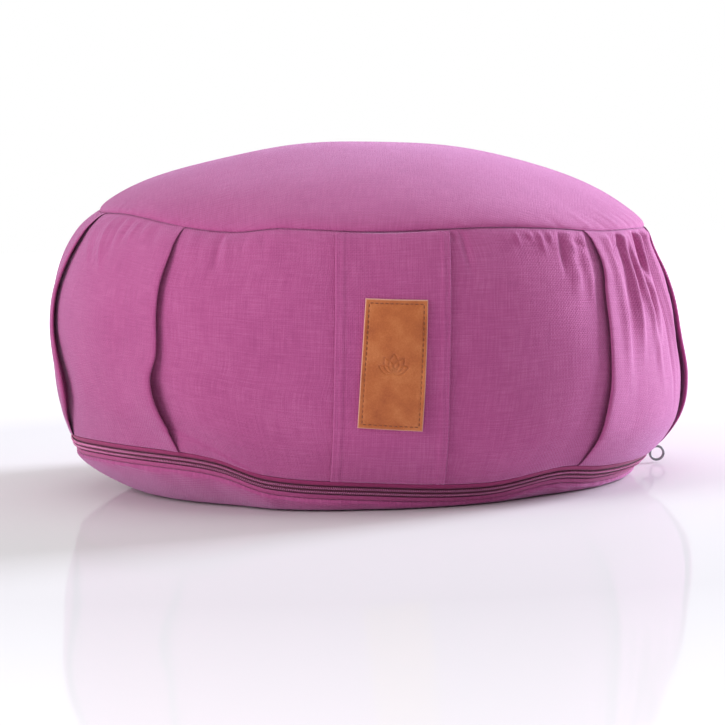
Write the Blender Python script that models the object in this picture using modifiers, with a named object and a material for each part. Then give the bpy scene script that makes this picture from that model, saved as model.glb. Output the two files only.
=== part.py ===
"""A zafu: a round meditation cushion of plain cotton, pleated round its side, zipped round its foot and filled.

Metres, +Z up. The cushion rests on z = 0 with its front panel facing -Y. Azimuths are degrees from the front,
positive towards +X. The cushion's wall, crown and base are first laid out upright, with the zip at height 0, and
are then settled: leaned as a filled cushion leans on its base, and flattened where the base meets the ground.
"""

import math

import bmesh
import bpy
from mathutils import Matrix, Vector

# The cushion, laid out upright.
SEAM_RADIUS = 0.1457
WALL_HEIGHT = 0.1222
CROWN_RISE = 0.0393
CROWN_POWER = 0.76
CROWN_SHIFT = 0.0058
BELLY_DROP = 0.0393
BELLY_POWER = 0.76
CLOTH = 0.0015
GAP = 0.0004

# How it settles on the ground.
LEAN_SIDEWAYS = math.radians(3.3)
LEAN_FORWARD = math.radians(2.85)
ZIP_ABOVE_GROUND = 0.0186
SETTLE_SHIFT_X = -0.0031
SETTLE_SHIFT_Y = 0.0043

# Down the wall from seam (0) to zip (1) and base: how far the filling pushes each side out past the seam.
#   down, left mm, right mm
WALL_BULGE = (
    (0.00, 0.0, 0.0),
    (0.08, 10.0, 2.5),
    (0.20, 18.0, 8.8),
    (0.35, 22.4, 15.0),
    (0.50, 23.0, 19.0),
    (0.65, 22.0, 22.0),
    (0.80, 19.8, 21.0),
    (0.92, 14.8, 13.0),
    (1.00, 11.0, 3.5),
    (1.05, 9.0, -1.2),
)
BASE_RIM = 1.05
# Round the wall: how far the seam and the zip ride above their level lines.
#   azimuth, seam mm, zip mm
WAVES = (
    (-180.0, 0.0, 0.0),
    (-120.0, 1.5, 2.0),
    (-82.0, -1.0, 0.0),
    (-58.0, 1.0, 4.5),
    (-38.0, -2.5, 7.0),
    (-28.0, -3.0, 6.0),
    (-18.0, 0.0, 0.0),
    (0.0, 0.0, -1.0),
    (22.0, 3.0, -1.5),
    (38.0, 2.0, 3.5),
    (50.0, 0.0, 1.0),
    (66.0, -0.5, 0.0),
    (80.0, -1.5, 0.5),
    (97.0, -1.5, 4.9),
    (118.0, 1.0, 3.0),
    (150.0, 1.5, 0.5),
    (180.0, 0.0, 0.0),
)
# Each pleat's fold edge. Opens is +1 where its slot faces rising azimuths and -1 where it faces falling ones.
#   azimuth at seam, azimuth at zip, opens
PLEATS = (
    (-160.0, -157.0, 1),
    (-118.0, -114.0, 1),
    (-75.0, -71.0, 1),
    (-39.5, -35.5, 1),
    (46.5, 42.0, -1),
    (84.0, 80.0, -1),
    (126.0, 122.0, -1),
    (167.0, 164.0, -1),
)
# Across a pleat, from the covering piece to the covered one: along and out while folded, along where sewn flat.
#   folded mm, out mm, flat mm
PLEAT_SECTION = (
    (-12.0, 0.0, -12.0),
    (-4.0, 2.6, -4.0),
    (-0.8, 3.0, -0.8),
    (0.0, 1.5, 0.0),
    (-7.0, -0.6, 0.7),
    (-7.0, -2.4, 1.4),
    (1.5, -1.6, 2.2),
    (9.0, 0.0, 9.0),
)
PLEAT_OPENS_BY = 0.16
PLEAT_CLOSES_AT = 0.90
COLUMN_STEP = 6.5
MID_WALL_RADIUS = 0.165
WALL_ROWS = (0.08, 0.20, 0.35, 0.50, 0.65, 0.80, 0.90)
CROWN_ROWS = (0.95, 0.86, 0.68, 0.38)
BASE_ROWS = (0.95, 0.87, 0.76, 0.55, 0.28)

# The zip, by height above its own middle line.
TAPE_TOP = 0.0047
CHAIN_HALF = 0.0021
HEM_TOP = 0.0051
TAPE_THICKNESS = 0.0011
TAPE_SINK = 0.0004
CHAIN_THICKNESS = 0.0019
CHAIN_PROUD = 0.0007
RECESS = 0.0020
BASE_HEM = 0.0014

# The front panel and its leather patch.
PANEL_AZIMUTH = 3.5
PANEL_WIDTH = 0.0545
PANEL_COLUMNS = 6
PATCH_AZIMUTH = 3.6
PATCH_DOWN = 0.49
PATCH_WIDTH = 0.030
PATCH_HEIGHT = 0.060
PATCH_TURN = math.radians(2.0)
PATCH_THICKNESS = 0.0016

# The slider and its pull.
SLIDER_AZIMUTH = 97.0
SLIDER_LENGTH = 0.0085
SLIDER_WIDTH = 0.0066
SLIDER_PLATE = 0.0016
BRIDGE_SPAN = 0.0052
BRIDGE_RISE = 0.0026
BRIDGE_WIRE = 0.0006
PULL_THICKNESS = 0.0012
PULL_LENGTH = 0.0115
PULL_HEAD_WIDTH = 0.0066
PULL_WAIST_WIDTH = 0.0050
PULL_BAR = 0.0012
PULL_WINDOW = 0.0036
EYE_RADIUS = 0.0044
EYE_HOLE_RADIUS = 0.0031
EYE_SEGMENTS = 20

COTTON = ("cotton", (0.56, 0.13, 0.33), 0.85, 0.0)
LEATHER = ("leather", (0.48, 0.14, 0.03), 0.55, 0.0)
ZIP_POLYESTER = ("zip_polyester", (0.27, 0.02, 0.13), 0.6, 0.0)
GUNMETAL = ("gunmetal", (0.25, 0.25, 0.26), 0.35, 1.0)


def millimetres(value):
    return value / 1000.0


def between(start, end, share):
    return start + (end - start) * share


def smooth_lookup(table, column, at):
    """Reads a table's column at a value of its first column, along a smooth curve through its rows."""
    last = len(table) - 1
    at = min(max(at, table[0][0]), table[last][0])
    row = next(i for i in range(last) if at <= table[i + 1][0])
    x0, y0 = table[row][0], table[row][column]
    x1, y1 = table[row + 1][0], table[row + 1][column]
    before = table[max(row - 1, 0)]
    after = table[min(row + 2, last)]
    slope0 = (y1 - before[column]) / (x1 - before[0])
    slope1 = (after[column] - y0) / (after[0] - x0)
    width = x1 - x0
    u = (at - x0) / width
    rise = y0 * (2 * u**3 - 3 * u**2 + 1) + y1 * (3 * u**2 - 2 * u**3)
    return rise + width * (slope0 * (u**3 - 2 * u**2 + u) + slope1 * (u**3 - u**2))


def wrapped(azimuth):
    return (azimuth + 180.0) % 360.0 - 180.0


def seam_height(azimuth):
    return WALL_HEIGHT + millimetres(smooth_lookup(WAVES, 1, wrapped(azimuth)))


def zip_height(azimuth):
    return millimetres(smooth_lookup(WAVES, 2, wrapped(azimuth)))


def bulge(azimuth, down):
    """How far the wall stands out past the seam: the left profile at -90 degrees, the right one at 90."""
    share = 0.5 + 0.5 * math.sin(math.radians(azimuth))
    left = smooth_lookup(WALL_BULGE, 1, down)
    right = smooth_lookup(WALL_BULGE, 2, down)
    return millimetres(between(left, right, share))


def upright(azimuth, radius, height):
    angle = math.radians(azimuth)
    return Vector((radius * math.sin(angle), -radius * math.cos(angle), height))


def settled(point):
    """Leans a point of the upright cushion as it rests, and keeps it above the ground."""
    lean = Matrix.Rotation(LEAN_FORWARD, 3, "X") @ Matrix.Rotation(LEAN_SIDEWAYS, 3, "Y")
    placed = lean @ point + Vector((SETTLE_SHIFT_X, SETTLE_SHIFT_Y, ZIP_ABOVE_GROUND))
    placed.z = max(placed.z, 0.0)
    return placed


def wall_point(azimuth, down, out=0.0):
    """A point of the smooth wall, out past its surface by a distance."""
    height = between(seam_height(azimuth), zip_height(azimuth), down)
    return settled(upright(azimuth, SEAM_RADIUS + bulge(azimuth, down) + out, height))


def foot_point(azimuth, above_zip, out=0.0):
    """A point near the foot of the wall, by its height above the zip's middle line."""
    height = seam_height(azimuth) - zip_height(azimuth)
    return wall_point(azimuth, 1.0 - above_zip / height, out)


def crown_point(azimuth, reach, inset=0.0):
    """A point of the top panel at a share of the seam's radius, in from its surface by a distance."""
    fall = max(1.0 - reach**2, 0.0)
    wave = (seam_height(azimuth) - WALL_HEIGHT) * reach**4
    point = upright(azimuth, (SEAM_RADIUS - inset) * reach, WALL_HEIGHT + wave)
    point += Vector((CROWN_SHIFT * fall, 0.0, CROWN_RISE * fall**CROWN_POWER - inset))
    return settled(point)


def base_point(azimuth, reach, inset=0.0):
    """A point of the base panel at a share of the foot's radius, in from its surface by a distance."""
    fall = max(1.0 - reach**2, 0.0)
    radius = (SEAM_RADIUS + bulge(azimuth, BASE_RIM) - inset) * reach
    rim = zip_height(azimuth) * reach**4 - TAPE_TOP - GAP - BASE_HEM
    point = settled(upright(azimuth, radius, rim - BELLY_DROP * fall**BELLY_POWER))
    point.z += inset
    return point


def pleat_strength(down):
    """How far a pleat stands open, from 0 where the seam or the zip holds it flat to 1 in the middle."""
    opening = min(down / PLEAT_OPENS_BY, 1.0)
    closing = min((1.0 - down) / (1.0 - PLEAT_CLOSES_AT), 1.0)
    share = max(min(opening, closing), 0.0)
    return share * share * (3.0 - 2.0 * share)


def wall_columns():
    """The wall's sections round the cushion: azimuth at seam and zip, then the pleat's along, out and flat."""
    columns = []
    for index, (seam, foot, opens) in enumerate(PLEATS):
        section = [(seam, foot, opens * folded, out, opens * flat) for folded, out, flat in PLEAT_SECTION]
        columns += section if opens > 0 else section[::-1]
        next_seam, next_foot, next_opens = PLEATS[(index + 1) % len(PLEATS)]
        turn = 360.0 if index == len(PLEATS) - 1 else 0.0
        edge = math.degrees(millimetres(PLEAT_SECTION[-1 if opens > 0 else 0][0]) * opens / MID_WALL_RADIUS)
        next_edge = PLEAT_SECTION[0 if next_opens > 0 else -1][0] * next_opens
        next_edge = math.degrees(millimetres(next_edge) / MID_WALL_RADIUS)
        start = (seam + edge, foot + edge)
        end = (next_seam + turn + next_edge, next_foot + turn + next_edge)
        steps = round((end[0] - start[0]) / COLUMN_STEP)
        for step in range(1, steps):
            share = step / steps
            columns.append((between(start[0], end[0], share), between(start[1], end[1], share), 0.0, 0.0, 0.0))
    return columns


def column_azimuth(column, down):
    seam, foot, folded, _, flat = column
    along = between(flat, folded, pleat_strength(down))
    return between(seam, foot, min(down, 1.0)) + math.degrees(millimetres(along) / MID_WALL_RADIUS)


def pleated_row(columns, down):
    """One level row of the wall through every pleat."""
    strength = pleat_strength(down)
    return [wall_point(column_azimuth(c, down), down, millimetres(c[3]) * strength) for c in columns]


def ring_azimuths(columns, down):
    return [column_azimuth(column, down) for column in columns]


def material(finish):
    name, colour, roughness, metallic = finish
    made = bpy.data.materials.get(name)
    if made is None:
        made = bpy.data.materials.new(name)
        made.use_nodes = True
        shader = made.node_tree.nodes["Principled BSDF"]
        shader.inputs["Base Color"].default_value = (*colour, 1.0)
        shader.inputs["Roughness"].default_value = roughness
        shader.inputs["Metallic"].default_value = metallic
    return made


def add_piece(collection, name, mesh, finish):
    piece = bpy.data.objects.new(name, mesh)
    piece.data.materials.append(material(finish))
    collection.objects.link(piece)
    return piece


def loft(name, rows, around=True, first_pole=None, last_pole=None, tube=False):
    """A mesh between rows of points: joined round each row, closed by poles, or joined from last row to first."""
    shape = bmesh.new()
    grid = [[shape.verts.new(point) for point in row] for row in rows]
    count = len(rows[0])
    columns = range(count if around else count - 1)
    pairs = list(zip(grid, grid[1:]))
    if tube:
        pairs.append((grid[-1], grid[0]))
    for upper, lower in pairs:
        for i in columns:
            j = (i + 1) % count
            shape.faces.new((upper[i], lower[i], lower[j], upper[j]))
    for pole, row, flip in ((first_pole, grid[0], False), (last_pole, grid[-1], True)):
        if pole is None:
            continue
        centre = shape.verts.new(pole)
        for i in columns:
            j = (i + 1) % count
            shape.faces.new((centre, row[j], row[i]) if flip else (centre, row[i], row[j]))
    mesh = bpy.data.meshes.new(name)
    shape.to_mesh(mesh)
    shape.free()
    return mesh


def thicken(piece, thickness):
    """Gives an open sheet its thickness, inwards from the surface that shows."""
    solid = piece.modifiers.new("thickness", "SOLIDIFY")
    solid.thickness = thickness
    solid.offset = -1.0
    solid.use_even_offset = True


def make_filled_side(collection, columns):
    """The pleated side of the cover with the filling inside it: one solid under the top and base panels."""
    at_seam = ring_azimuths(columns, 0.0)
    at_zip = ring_azimuths(columns, 1.0)
    inset = CLOTH + GAP
    rows = [[crown_point(a, reach, inset) for a in at_seam] for reach in reversed(CROWN_ROWS)]
    rows.append([wall_point(a, 0.025, -CLOTH - GAP) for a in at_seam])
    rows.append([wall_point(a, 0.0) - Vector((0.0, 0.0, GAP)) for a in at_seam])
    rows += [pleated_row(columns, down) for down in WALL_ROWS]
    rows.append([foot_point(a, HEM_TOP) for a in at_zip])
    rows.append([foot_point(a, HEM_TOP, -RECESS) for a in at_zip])
    rows.append([foot_point(a, 0.0, -RECESS) for a in at_zip])
    rows.append([base_point(a, 1.0, RECESS) for a in at_zip])
    rows += [[base_point(a, reach, inset) for a in at_zip] for reach in BASE_ROWS]
    top = crown_point(0.0, 0.0, inset)
    bottom = base_point(0.0, 0.0, inset)
    return add_piece(collection, "side_band", loft("side_band", rows, True, top, bottom), COTTON)


def make_top_panel(collection, columns):
    """The round top, domed by the filling and sewn to the side along the seam."""
    azimuths = ring_azimuths(columns, 0.0)
    rows = [[crown_point(a, reach) for a in azimuths] for reach in (*reversed(CROWN_ROWS), 1.0)]
    panel = add_piece(collection, "top_panel", loft("top_panel", rows, True, crown_point(0.0, 0.0)), COTTON)
    thicken(panel, CLOTH)


def make_base_panel(collection, columns):
    """The round base below the zip, with a short upright hem, its belly pressed flat by the ground."""
    azimuths = ring_azimuths(columns, 1.0)
    rows = [[base_point(a, 1.0) + Vector((0.0, 0.0, BASE_HEM)) for a in azimuths]]
    rows += [[base_point(a, reach) for a in azimuths] for reach in (1.0, *BASE_ROWS)]
    mesh = loft("base_panel", rows, True, None, base_point(0.0, 0.0))
    thicken(add_piece(collection, "base_panel", mesh, COTTON), CLOTH)


def make_front_panel(collection):
    """The straight strip sewn over the front of the side, from the seam to the hem above the zip."""
    foot = 1.0 - HEM_TOP / (seam_height(PANEL_AZIMUTH) - zip_height(PANEL_AZIMUTH))
    rows = []
    for down in (0.012, *WALL_ROWS, foot):
        radius = SEAM_RADIUS + bulge(PANEL_AZIMUTH, down)
        half_angle = math.degrees(PANEL_WIDTH / 2 / radius)
        shares = [2.0 * i / PANEL_COLUMNS - 1.0 for i in range(PANEL_COLUMNS + 1)]
        rows.append([wall_point(PANEL_AZIMUTH + half_angle * s, down, GAP + CLOTH) for s in shares])
    panel = add_piece(collection, "front_panel", loft("front_panel", rows, around=False), COTTON)
    thicken(panel, CLOTH)


def make_leather_patch(collection):
    """The leather patch, upright on the front panel and turned a little."""
    steps_across, steps_down = 4, 8
    out = 2 * GAP + CLOTH + PATCH_THICKNESS
    radius = SEAM_RADIUS + bulge(PATCH_AZIMUTH, PATCH_DOWN)
    rows = []
    for i in range(steps_down + 1):
        row = []
        for j in range(steps_across + 1):
            across = PATCH_WIDTH * (j / steps_across - 0.5)
            drop = PATCH_HEIGHT * (i / steps_down - 0.5)
            turned = Matrix.Rotation(PATCH_TURN, 2) @ Vector((across, drop))
            azimuth = PATCH_AZIMUTH + math.degrees(turned.x / radius)
            row.append(wall_point(azimuth, PATCH_DOWN + turned.y / WALL_HEIGHT, out))
        rows.append(row)
    patch = add_piece(collection, "leather_patch", loft("leather_patch", rows, around=False), LEATHER)
    thicken(patch, PATCH_THICKNESS)


def make_zip_ring(collection, name, columns, top, bottom, proud, thickness):
    """One strand of the zip right round the foot: a strip between two heights above the zip's middle line."""
    azimuths = ring_azimuths(columns, 1.0)
    corners = ((top, proud), (bottom, proud), (bottom, proud - thickness), (top, proud - thickness))
    rows = [[foot_point(a, above, out) for a in azimuths] for above, out in corners]
    add_piece(collection, name, loft(name, rows, tube=True), ZIP_POLYESTER)


def slider_frame():
    """The slider's place on the zip: columns along the zip, across it upwards, and straight out of it."""
    ahead = foot_point(SLIDER_AZIMUTH + 1.0, 0.0, CHAIN_PROUD)
    behind = foot_point(SLIDER_AZIMUTH - 1.0, 0.0, CHAIN_PROUD)
    above = foot_point(SLIDER_AZIMUTH, CHAIN_HALF, CHAIN_PROUD)
    below = foot_point(SLIDER_AZIMUTH, -CHAIN_HALF, CHAIN_PROUD)
    along = (ahead - behind).normalized()
    out = along.cross(above - below).normalized()
    frame = Matrix((along, out.cross(along), out)).transposed().to_4x4()
    frame.translation = foot_point(SLIDER_AZIMUTH, 0.0, CHAIN_PROUD)
    return frame


def solid_from_curve(collection, curve):
    """Turns a filled curve into a closed mesh and removes the curve."""
    graph = bpy.context.evaluated_depsgraph_get()
    mesh = bpy.data.meshes.new_from_object(curve.evaluated_get(graph))
    shape = bmesh.new()
    shape.from_mesh(mesh)
    bmesh.ops.remove_doubles(shape, verts=shape.verts, dist=0.00001)
    shape.to_mesh(mesh)
    shape.free()
    made = bpy.data.objects.new(curve.name + "_solid", mesh)
    made.matrix_world = curve.matrix_world
    collection.objects.link(made)
    bpy.data.objects.remove(curve)
    return made


def poly_curve(collection, name, outlines, flat):
    """A curve object of straight-sided splines: flat outlines, or one open wire."""
    data = bpy.data.curves.new(name, "CURVE")
    data.dimensions = "2D" if flat else "3D"
    data.fill_mode = "BOTH" if flat else "FULL"
    for outline in outlines:
        spline = data.splines.new("POLY")
        spline.points.add(len(outline) - 1)
        for point, place in zip(spline.points, outline):
            point.co = (*place, 0.0, 1.0) if flat else (*place, 1.0)
        spline.use_cyclic_u = flat
    curve = bpy.data.objects.new(name, data)
    collection.objects.link(curve)
    return curve


def arc(centre_x, radius, start, end, steps):
    """Points of a circle's arc on the pull's middle line, between two angles in degrees."""
    turns = [math.radians(between(start, end, i / steps)) for i in range(steps + 1)]
    return [(centre_x + radius * math.cos(a), radius * math.sin(a)) for a in turns]


def make_zip_slider(collection, cutters):
    """The slider's outer plate and the bridge that its pull hangs on."""
    stand_off = GAP + SLIDER_PLATE / 2
    shape = bmesh.new()
    bmesh.ops.create_cube(shape, size=1.0)
    bmesh.ops.scale(shape, vec=(SLIDER_LENGTH, SLIDER_WIDTH, SLIDER_PLATE), verts=shape.verts)
    bmesh.ops.translate(shape, vec=(0.0, 0.0, stand_off), verts=shape.verts)
    mesh = bpy.data.meshes.new("zip_slider")
    shape.to_mesh(mesh)
    shape.free()
    slider = add_piece(collection, "zip_slider", mesh, GUNMETAL)
    rounding = slider.modifiers.new("cast edges", "BEVEL")
    rounding.width = 0.0004
    rounding.segments = 1
    foot = GAP + SLIDER_PLATE - BRIDGE_WIRE
    half = BRIDGE_SPAN / 2
    turns = [math.radians(180.0 * i / 8) for i in range(9)]
    arch = [(-half * math.cos(t), 0.0, foot + BRIDGE_WIRE + BRIDGE_RISE * math.sin(t)) for t in turns]
    wire = poly_curve(cutters, "bridge", [arch], flat=False)
    wire.data.bevel_depth = BRIDGE_WIRE
    wire.data.bevel_resolution = 1
    wire.data.use_fill_caps = True
    bridge = solid_from_curve(cutters, wire)
    bridge.hide_render = True
    bridge.display_type = "WIRE"
    joining = slider.modifiers.new("bridge", "BOOLEAN")
    joining.operation = "UNION"
    joining.object = bridge
    slider.matrix_world = slider_frame()
    bridge.matrix_world = slider_frame()


def make_zip_pull(collection):
    """The cast pull: a head with a window that hooks the bridge, a waist, and an eye at its free end."""
    head = -PULL_BAR
    half_head = PULL_HEAD_WIDTH / 2
    half_waist = PULL_WAIST_WIDTH / 2
    window_end = head + PULL_BAR + PULL_WINDOW
    meets_eye = math.degrees(math.asin(half_waist / EYE_RADIUS))
    eye = arc(PULL_LENGTH, EYE_RADIUS, meets_eye - 180.0, 180.0 - meets_eye, EYE_SEGMENTS)
    outline = [(window_end + PULL_BAR, half_head), (head, half_head), (head, -half_head)]
    outline += [(window_end + PULL_BAR, -half_head), *eye]
    half_window = half_head - PULL_BAR
    window = [(0.0, -half_window), (0.0, half_window), (window_end, half_window), (window_end, -half_window)]
    hole = arc(PULL_LENGTH, EYE_HOLE_RADIUS, 0.0, 360.0, EYE_SEGMENTS)[:-1]
    curve = poly_curve(collection, "pull", [outline, window, hole], flat=True)
    curve.data.extrude = PULL_THICKNESS / 2
    pull = solid_from_curve(collection, curve)
    pull.name = "zip_pull"
    pull.data.materials.clear()
    pull.data.materials.append(material(GUNMETAL))
    bar_height = GAP + SLIDER_PLATE + GAP + PULL_BAR
    to_pull = Matrix(((0, 0, -1), (0, 1, 0), (1, 0, 0))).to_4x4()
    pull.matrix_world = slider_frame() @ Matrix.Translation((0.0, 0.0, bar_height)) @ to_pull


def clear_scene():
    for old in list(bpy.data.objects):
        bpy.data.objects.remove(old)


def main():
    clear_scene()
    cushion = bpy.data.collections.new("zafu_meditation_cushion")
    cutters = bpy.data.collections.new("cutters")
    bpy.context.scene.collection.children.link(cushion)
    bpy.context.scene.collection.children.link(cutters)
    columns = wall_columns()
    make_filled_side(cushion, columns)
    make_top_panel(cushion, columns)
    make_base_panel(cushion, columns)
    make_front_panel(cushion)
    make_leather_patch(cushion)
    tape = (TAPE_THICKNESS, -TAPE_SINK)
    make_zip_ring(cushion, "zip_tape_upper", columns, TAPE_TOP, CHAIN_HALF + GAP, tape[1], tape[0])
    make_zip_ring(cushion, "zip_chain", columns, CHAIN_HALF, -CHAIN_HALF, CHAIN_PROUD, CHAIN_THICKNESS)
    make_zip_ring(cushion, "zip_tape_lower", columns, -CHAIN_HALF - GAP, -TAPE_TOP, tape[1], tape[0])
    make_zip_slider(cushion, cutters)
    make_zip_pull(cushion)


main()
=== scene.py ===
# %% [markdown]
# A zafu is a round meditation cushion: a round top and a round base of plain cotton, a tall side that is
# pleated so that it can swell out, a zip round its foot to fill it through, and a firm filling. This lesson
# dresses its construction model, piece by piece, as sewn cloth, leather, nylon and cast metal. The first
# cell loads that model, which stays as it is: every size below starts from it.

# %% Load the construction model
import math

import bmesh
import bpy
import numpy as np
from mathutils import Matrix, Vector


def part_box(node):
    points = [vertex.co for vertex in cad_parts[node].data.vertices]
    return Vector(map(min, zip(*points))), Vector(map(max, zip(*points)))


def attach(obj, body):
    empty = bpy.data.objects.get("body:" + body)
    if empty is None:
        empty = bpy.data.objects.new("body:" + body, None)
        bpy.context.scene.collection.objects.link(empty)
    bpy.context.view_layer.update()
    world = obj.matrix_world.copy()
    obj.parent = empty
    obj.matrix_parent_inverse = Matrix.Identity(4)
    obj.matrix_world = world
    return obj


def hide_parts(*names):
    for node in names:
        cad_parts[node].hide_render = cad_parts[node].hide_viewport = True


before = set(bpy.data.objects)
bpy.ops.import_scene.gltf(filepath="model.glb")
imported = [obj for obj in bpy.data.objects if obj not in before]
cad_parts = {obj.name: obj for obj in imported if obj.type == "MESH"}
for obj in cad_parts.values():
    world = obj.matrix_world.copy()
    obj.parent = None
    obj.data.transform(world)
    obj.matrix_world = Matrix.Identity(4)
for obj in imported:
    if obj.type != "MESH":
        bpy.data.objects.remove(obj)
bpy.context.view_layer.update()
print("pieces in the construction model:", sorted(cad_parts))

# %% [markdown]
# The camera stands a little over a metre in front and looks slightly down, like someone looking at the
# cushion from a low stool. A long lens keeps the near and the far side in nearly the same scale. It is
# tipped by two degrees, which is easiest to say as a turn about the camera's own axis after it has been
# pointed.

# %% Camera
CAMERA_SPOT = (-0.0035, -1.2957, 0.1525)
CAMERA_LOOKS_DOWN = math.radians(4.02)
CAMERA_ROLL = math.radians(1.82)
CAMERA_LENS_MM = 120.27

camera = bpy.data.objects.new("camera", bpy.data.cameras.new("camera"))
camera.data.lens = CAMERA_LENS_MM
camera.data.sensor_width = 36.0
pointed = Matrix.Rotation(math.radians(90.0) - CAMERA_LOOKS_DOWN, 4, "X")
camera.matrix_world = Matrix.Translation(CAMERA_SPOT) @ pointed @ Matrix.Rotation(-CAMERA_ROLL, 4, "Z")
bpy.context.scene.collection.objects.link(camera)
bpy.context.scene.camera = camera
print("camera looks down by", round(math.degrees(CAMERA_LOOKS_DOWN), 2), "degrees")

# %% [markdown]
# The cushion is first laid out upright and level, with azimuths in degrees from its front, and only then
# leaned and pressed on the ground, as a filled cushion settles. These are the sizes that the construction
# model was made with, so that every surface here lies on its solid. All lengths are metres unless a name or
# a table says millimetres.

# %% Sizes of the upright cushion
SEAM_RADIUS = 0.1457
WALL_HEIGHT = 0.1222
CROWN_RISE = 0.0393
CROWN_POWER = 0.76
CROWN_SHIFT = 0.0058
BELLY_DROP = 0.0393
BELLY_POWER = 0.76
BASE_RIM = 1.05
CLOTH = 0.0015
GAP = 0.0004

# How far the filling pushes each side out past the seam: down the wall, left mm, right mm
WALL_BULGE = (
    (0.00, 0.0, 0.0),
    (0.08, 10.0, 2.5),
    (0.20, 18.0, 8.8),
    (0.35, 22.4, 15.0),
    (0.50, 23.0, 19.0),
    (0.65, 22.0, 22.0),
    (0.80, 19.8, 21.0),
    (0.92, 14.8, 13.0),
    (1.00, 11.0, 3.5),
    (1.05, 9.0, -1.2),
)
# How far the seam and the zip ride above their level lines: azimuth, seam mm, zip mm
WAVES = (
    (-180.0, 0.0, 0.0),
    (-120.0, 1.5, 2.0),
    (-82.0, -1.0, 0.0),
    (-58.0, 1.0, 4.5),
    (-38.0, -2.5, 7.0),
    (-28.0, -3.0, 6.0),
    (-18.0, 0.0, 0.0),
    (0.0, 0.0, -1.0),
    (22.0, 3.0, -1.5),
    (38.0, 2.0, 3.5),
    (50.0, 0.0, 1.0),
    (66.0, -0.5, 0.0),
    (80.0, -1.5, 0.5),
    (97.0, -1.5, 4.9),
    (118.0, 1.0, 3.0),
    (150.0, 1.5, 0.5),
    (180.0, 0.0, 0.0),
)


def millimetres(value):
    return value / 1000.0


def between(start, end, share):
    return start + (end - start) * share


def smooth_lookup(table, column, at):
    """Reads a table's column at many values of its first column, along a smooth curve through its rows."""
    rows = np.array(table, float)
    x, y = rows[:, 0], rows[:, column]
    at = np.clip(at, x[0], x[-1])
    row = np.clip(np.searchsorted(x, at, side="right") - 1, 0, len(x) - 2)
    before = np.maximum(row - 1, 0)
    after = np.minimum(row + 2, len(x) - 1)
    slope0 = (y[row + 1] - y[before]) / (x[row + 1] - x[before])
    slope1 = (y[after] - y[row]) / (x[after] - x[row])
    width = x[row + 1] - x[row]
    u = (at - x[row]) / width
    rise = y[row] * (2 * u**3 - 3 * u**2 + 1) + y[row + 1] * (3 * u**2 - 2 * u**3)
    return rise + width * (slope0 * (u**3 - 2 * u**2 + u) + slope1 * (u**3 - u**2))


print("the left side bulges", smooth_lookup(WALL_BULGE, 1, 0.5), "mm at half height")

# %% [markdown]
# The wall, the crown and the base are each a formula that turns an azimuth and a share of the way along
# into points. Numpy works out a whole grid of them at once, which is what makes a hundred thousand points
# quick.

# %% Points on the wall, the crown and the base
LEAN_SIDEWAYS = math.radians(3.3)
LEAN_FORWARD = math.radians(2.85)
ZIP_ABOVE_GROUND = 0.0186
PRESS_ROUNDING = 0.0016
settle_shift = np.array((0.0, 0.0, ZIP_ABOVE_GROUND))
LEAN = np.array(Matrix.Rotation(LEAN_FORWARD, 3, "X") @ Matrix.Rotation(LEAN_SIDEWAYS, 3, "Y"))


def wrapped(azimuth):
    return (azimuth + 180.0) % 360.0 - 180.0


def seam_height(azimuth):
    return WALL_HEIGHT + millimetres(smooth_lookup(WAVES, 1, wrapped(azimuth)))


def zip_height(azimuth):
    return millimetres(smooth_lookup(WAVES, 2, wrapped(azimuth)))


def bulge(azimuth, down):
    share = 0.5 + 0.5 * np.sin(np.radians(azimuth))
    return millimetres(between(smooth_lookup(WALL_BULGE, 1, down), smooth_lookup(WALL_BULGE, 2, down), share))


def upright(azimuth, radius, height):
    azimuth, radius, height = np.broadcast_arrays(azimuth, radius, height)
    angle = np.radians(azimuth)
    return np.stack([radius * np.sin(angle), -radius * np.cos(angle), height], -1)


def settled(points):
    """Leans upright points as the cushion rests, and presses what would sink under the ground softly flat."""
    placed = points @ LEAN.T + settle_shift
    z = placed[..., 2]
    placed[..., 2] = 0.5 * (z + np.sqrt(z**2 + PRESS_ROUNDING**2))
    return placed


def wall_point(azimuth, down, out=0.0):
    height = between(seam_height(azimuth), zip_height(azimuth), down)
    return settled(upright(azimuth, SEAM_RADIUS + bulge(azimuth, down) + out, height))


def foot_point(azimuth, above_zip, out=0.0):
    return wall_point(azimuth, 1.0 - above_zip / (seam_height(azimuth) - zip_height(azimuth)), out)


def crown_point(azimuth, reach, out=0.0):
    fall = np.maximum(1.0 - reach**2, 0.0)
    wave = (seam_height(azimuth) - WALL_HEIGHT) * reach**4
    upward = np.sqrt(fall)
    radius = (SEAM_RADIUS + out * (1.0 - upward)) * reach
    height = WALL_HEIGHT + wave + CROWN_RISE * fall**CROWN_POWER + out * upward
    points = upright(azimuth, radius, height)
    points[..., 0] += CROWN_SHIFT * fall
    return settled(points)


top_low, top_high = (np.array(corner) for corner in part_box("top_panel"))
ring = crown_point(np.arange(-180.0, 180.0, 2.0), np.array(1.0))
settle_shift[:2] = ((top_low + top_high) / 2 - (ring.min(0) + ring.max(0)) / 2)[:2]
print("the cushion settles sideways by", np.round(settle_shift * 1000, 1), "mm")

# %% [markdown]
# Most pieces here are grids: rows of points that run round the cushion or round a strip. One function joins
# them with faces and gives them a UV map, called cloth, that holds real metres measured along the cloth.
# The weave and its slubs are drawn in that map, so the threads follow the cut of each piece and go into its
# folds.

# %% Grids of points become meshes
def spaced(length, first, middle, last, ease):
    """Shares along a length whose steps start at one size, widen to the middle one and end at the last."""
    marks = [0.0]
    while marks[-1] < length:
        opening = between(first, middle, min(marks[-1] / ease, 1.0))
        closing = between(last, middle, min((length - marks[-1]) / ease, 1.0))
        marks.append(marks[-1] + min(opening, closing))
    return np.array(marks) / marks[-1]


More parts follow.
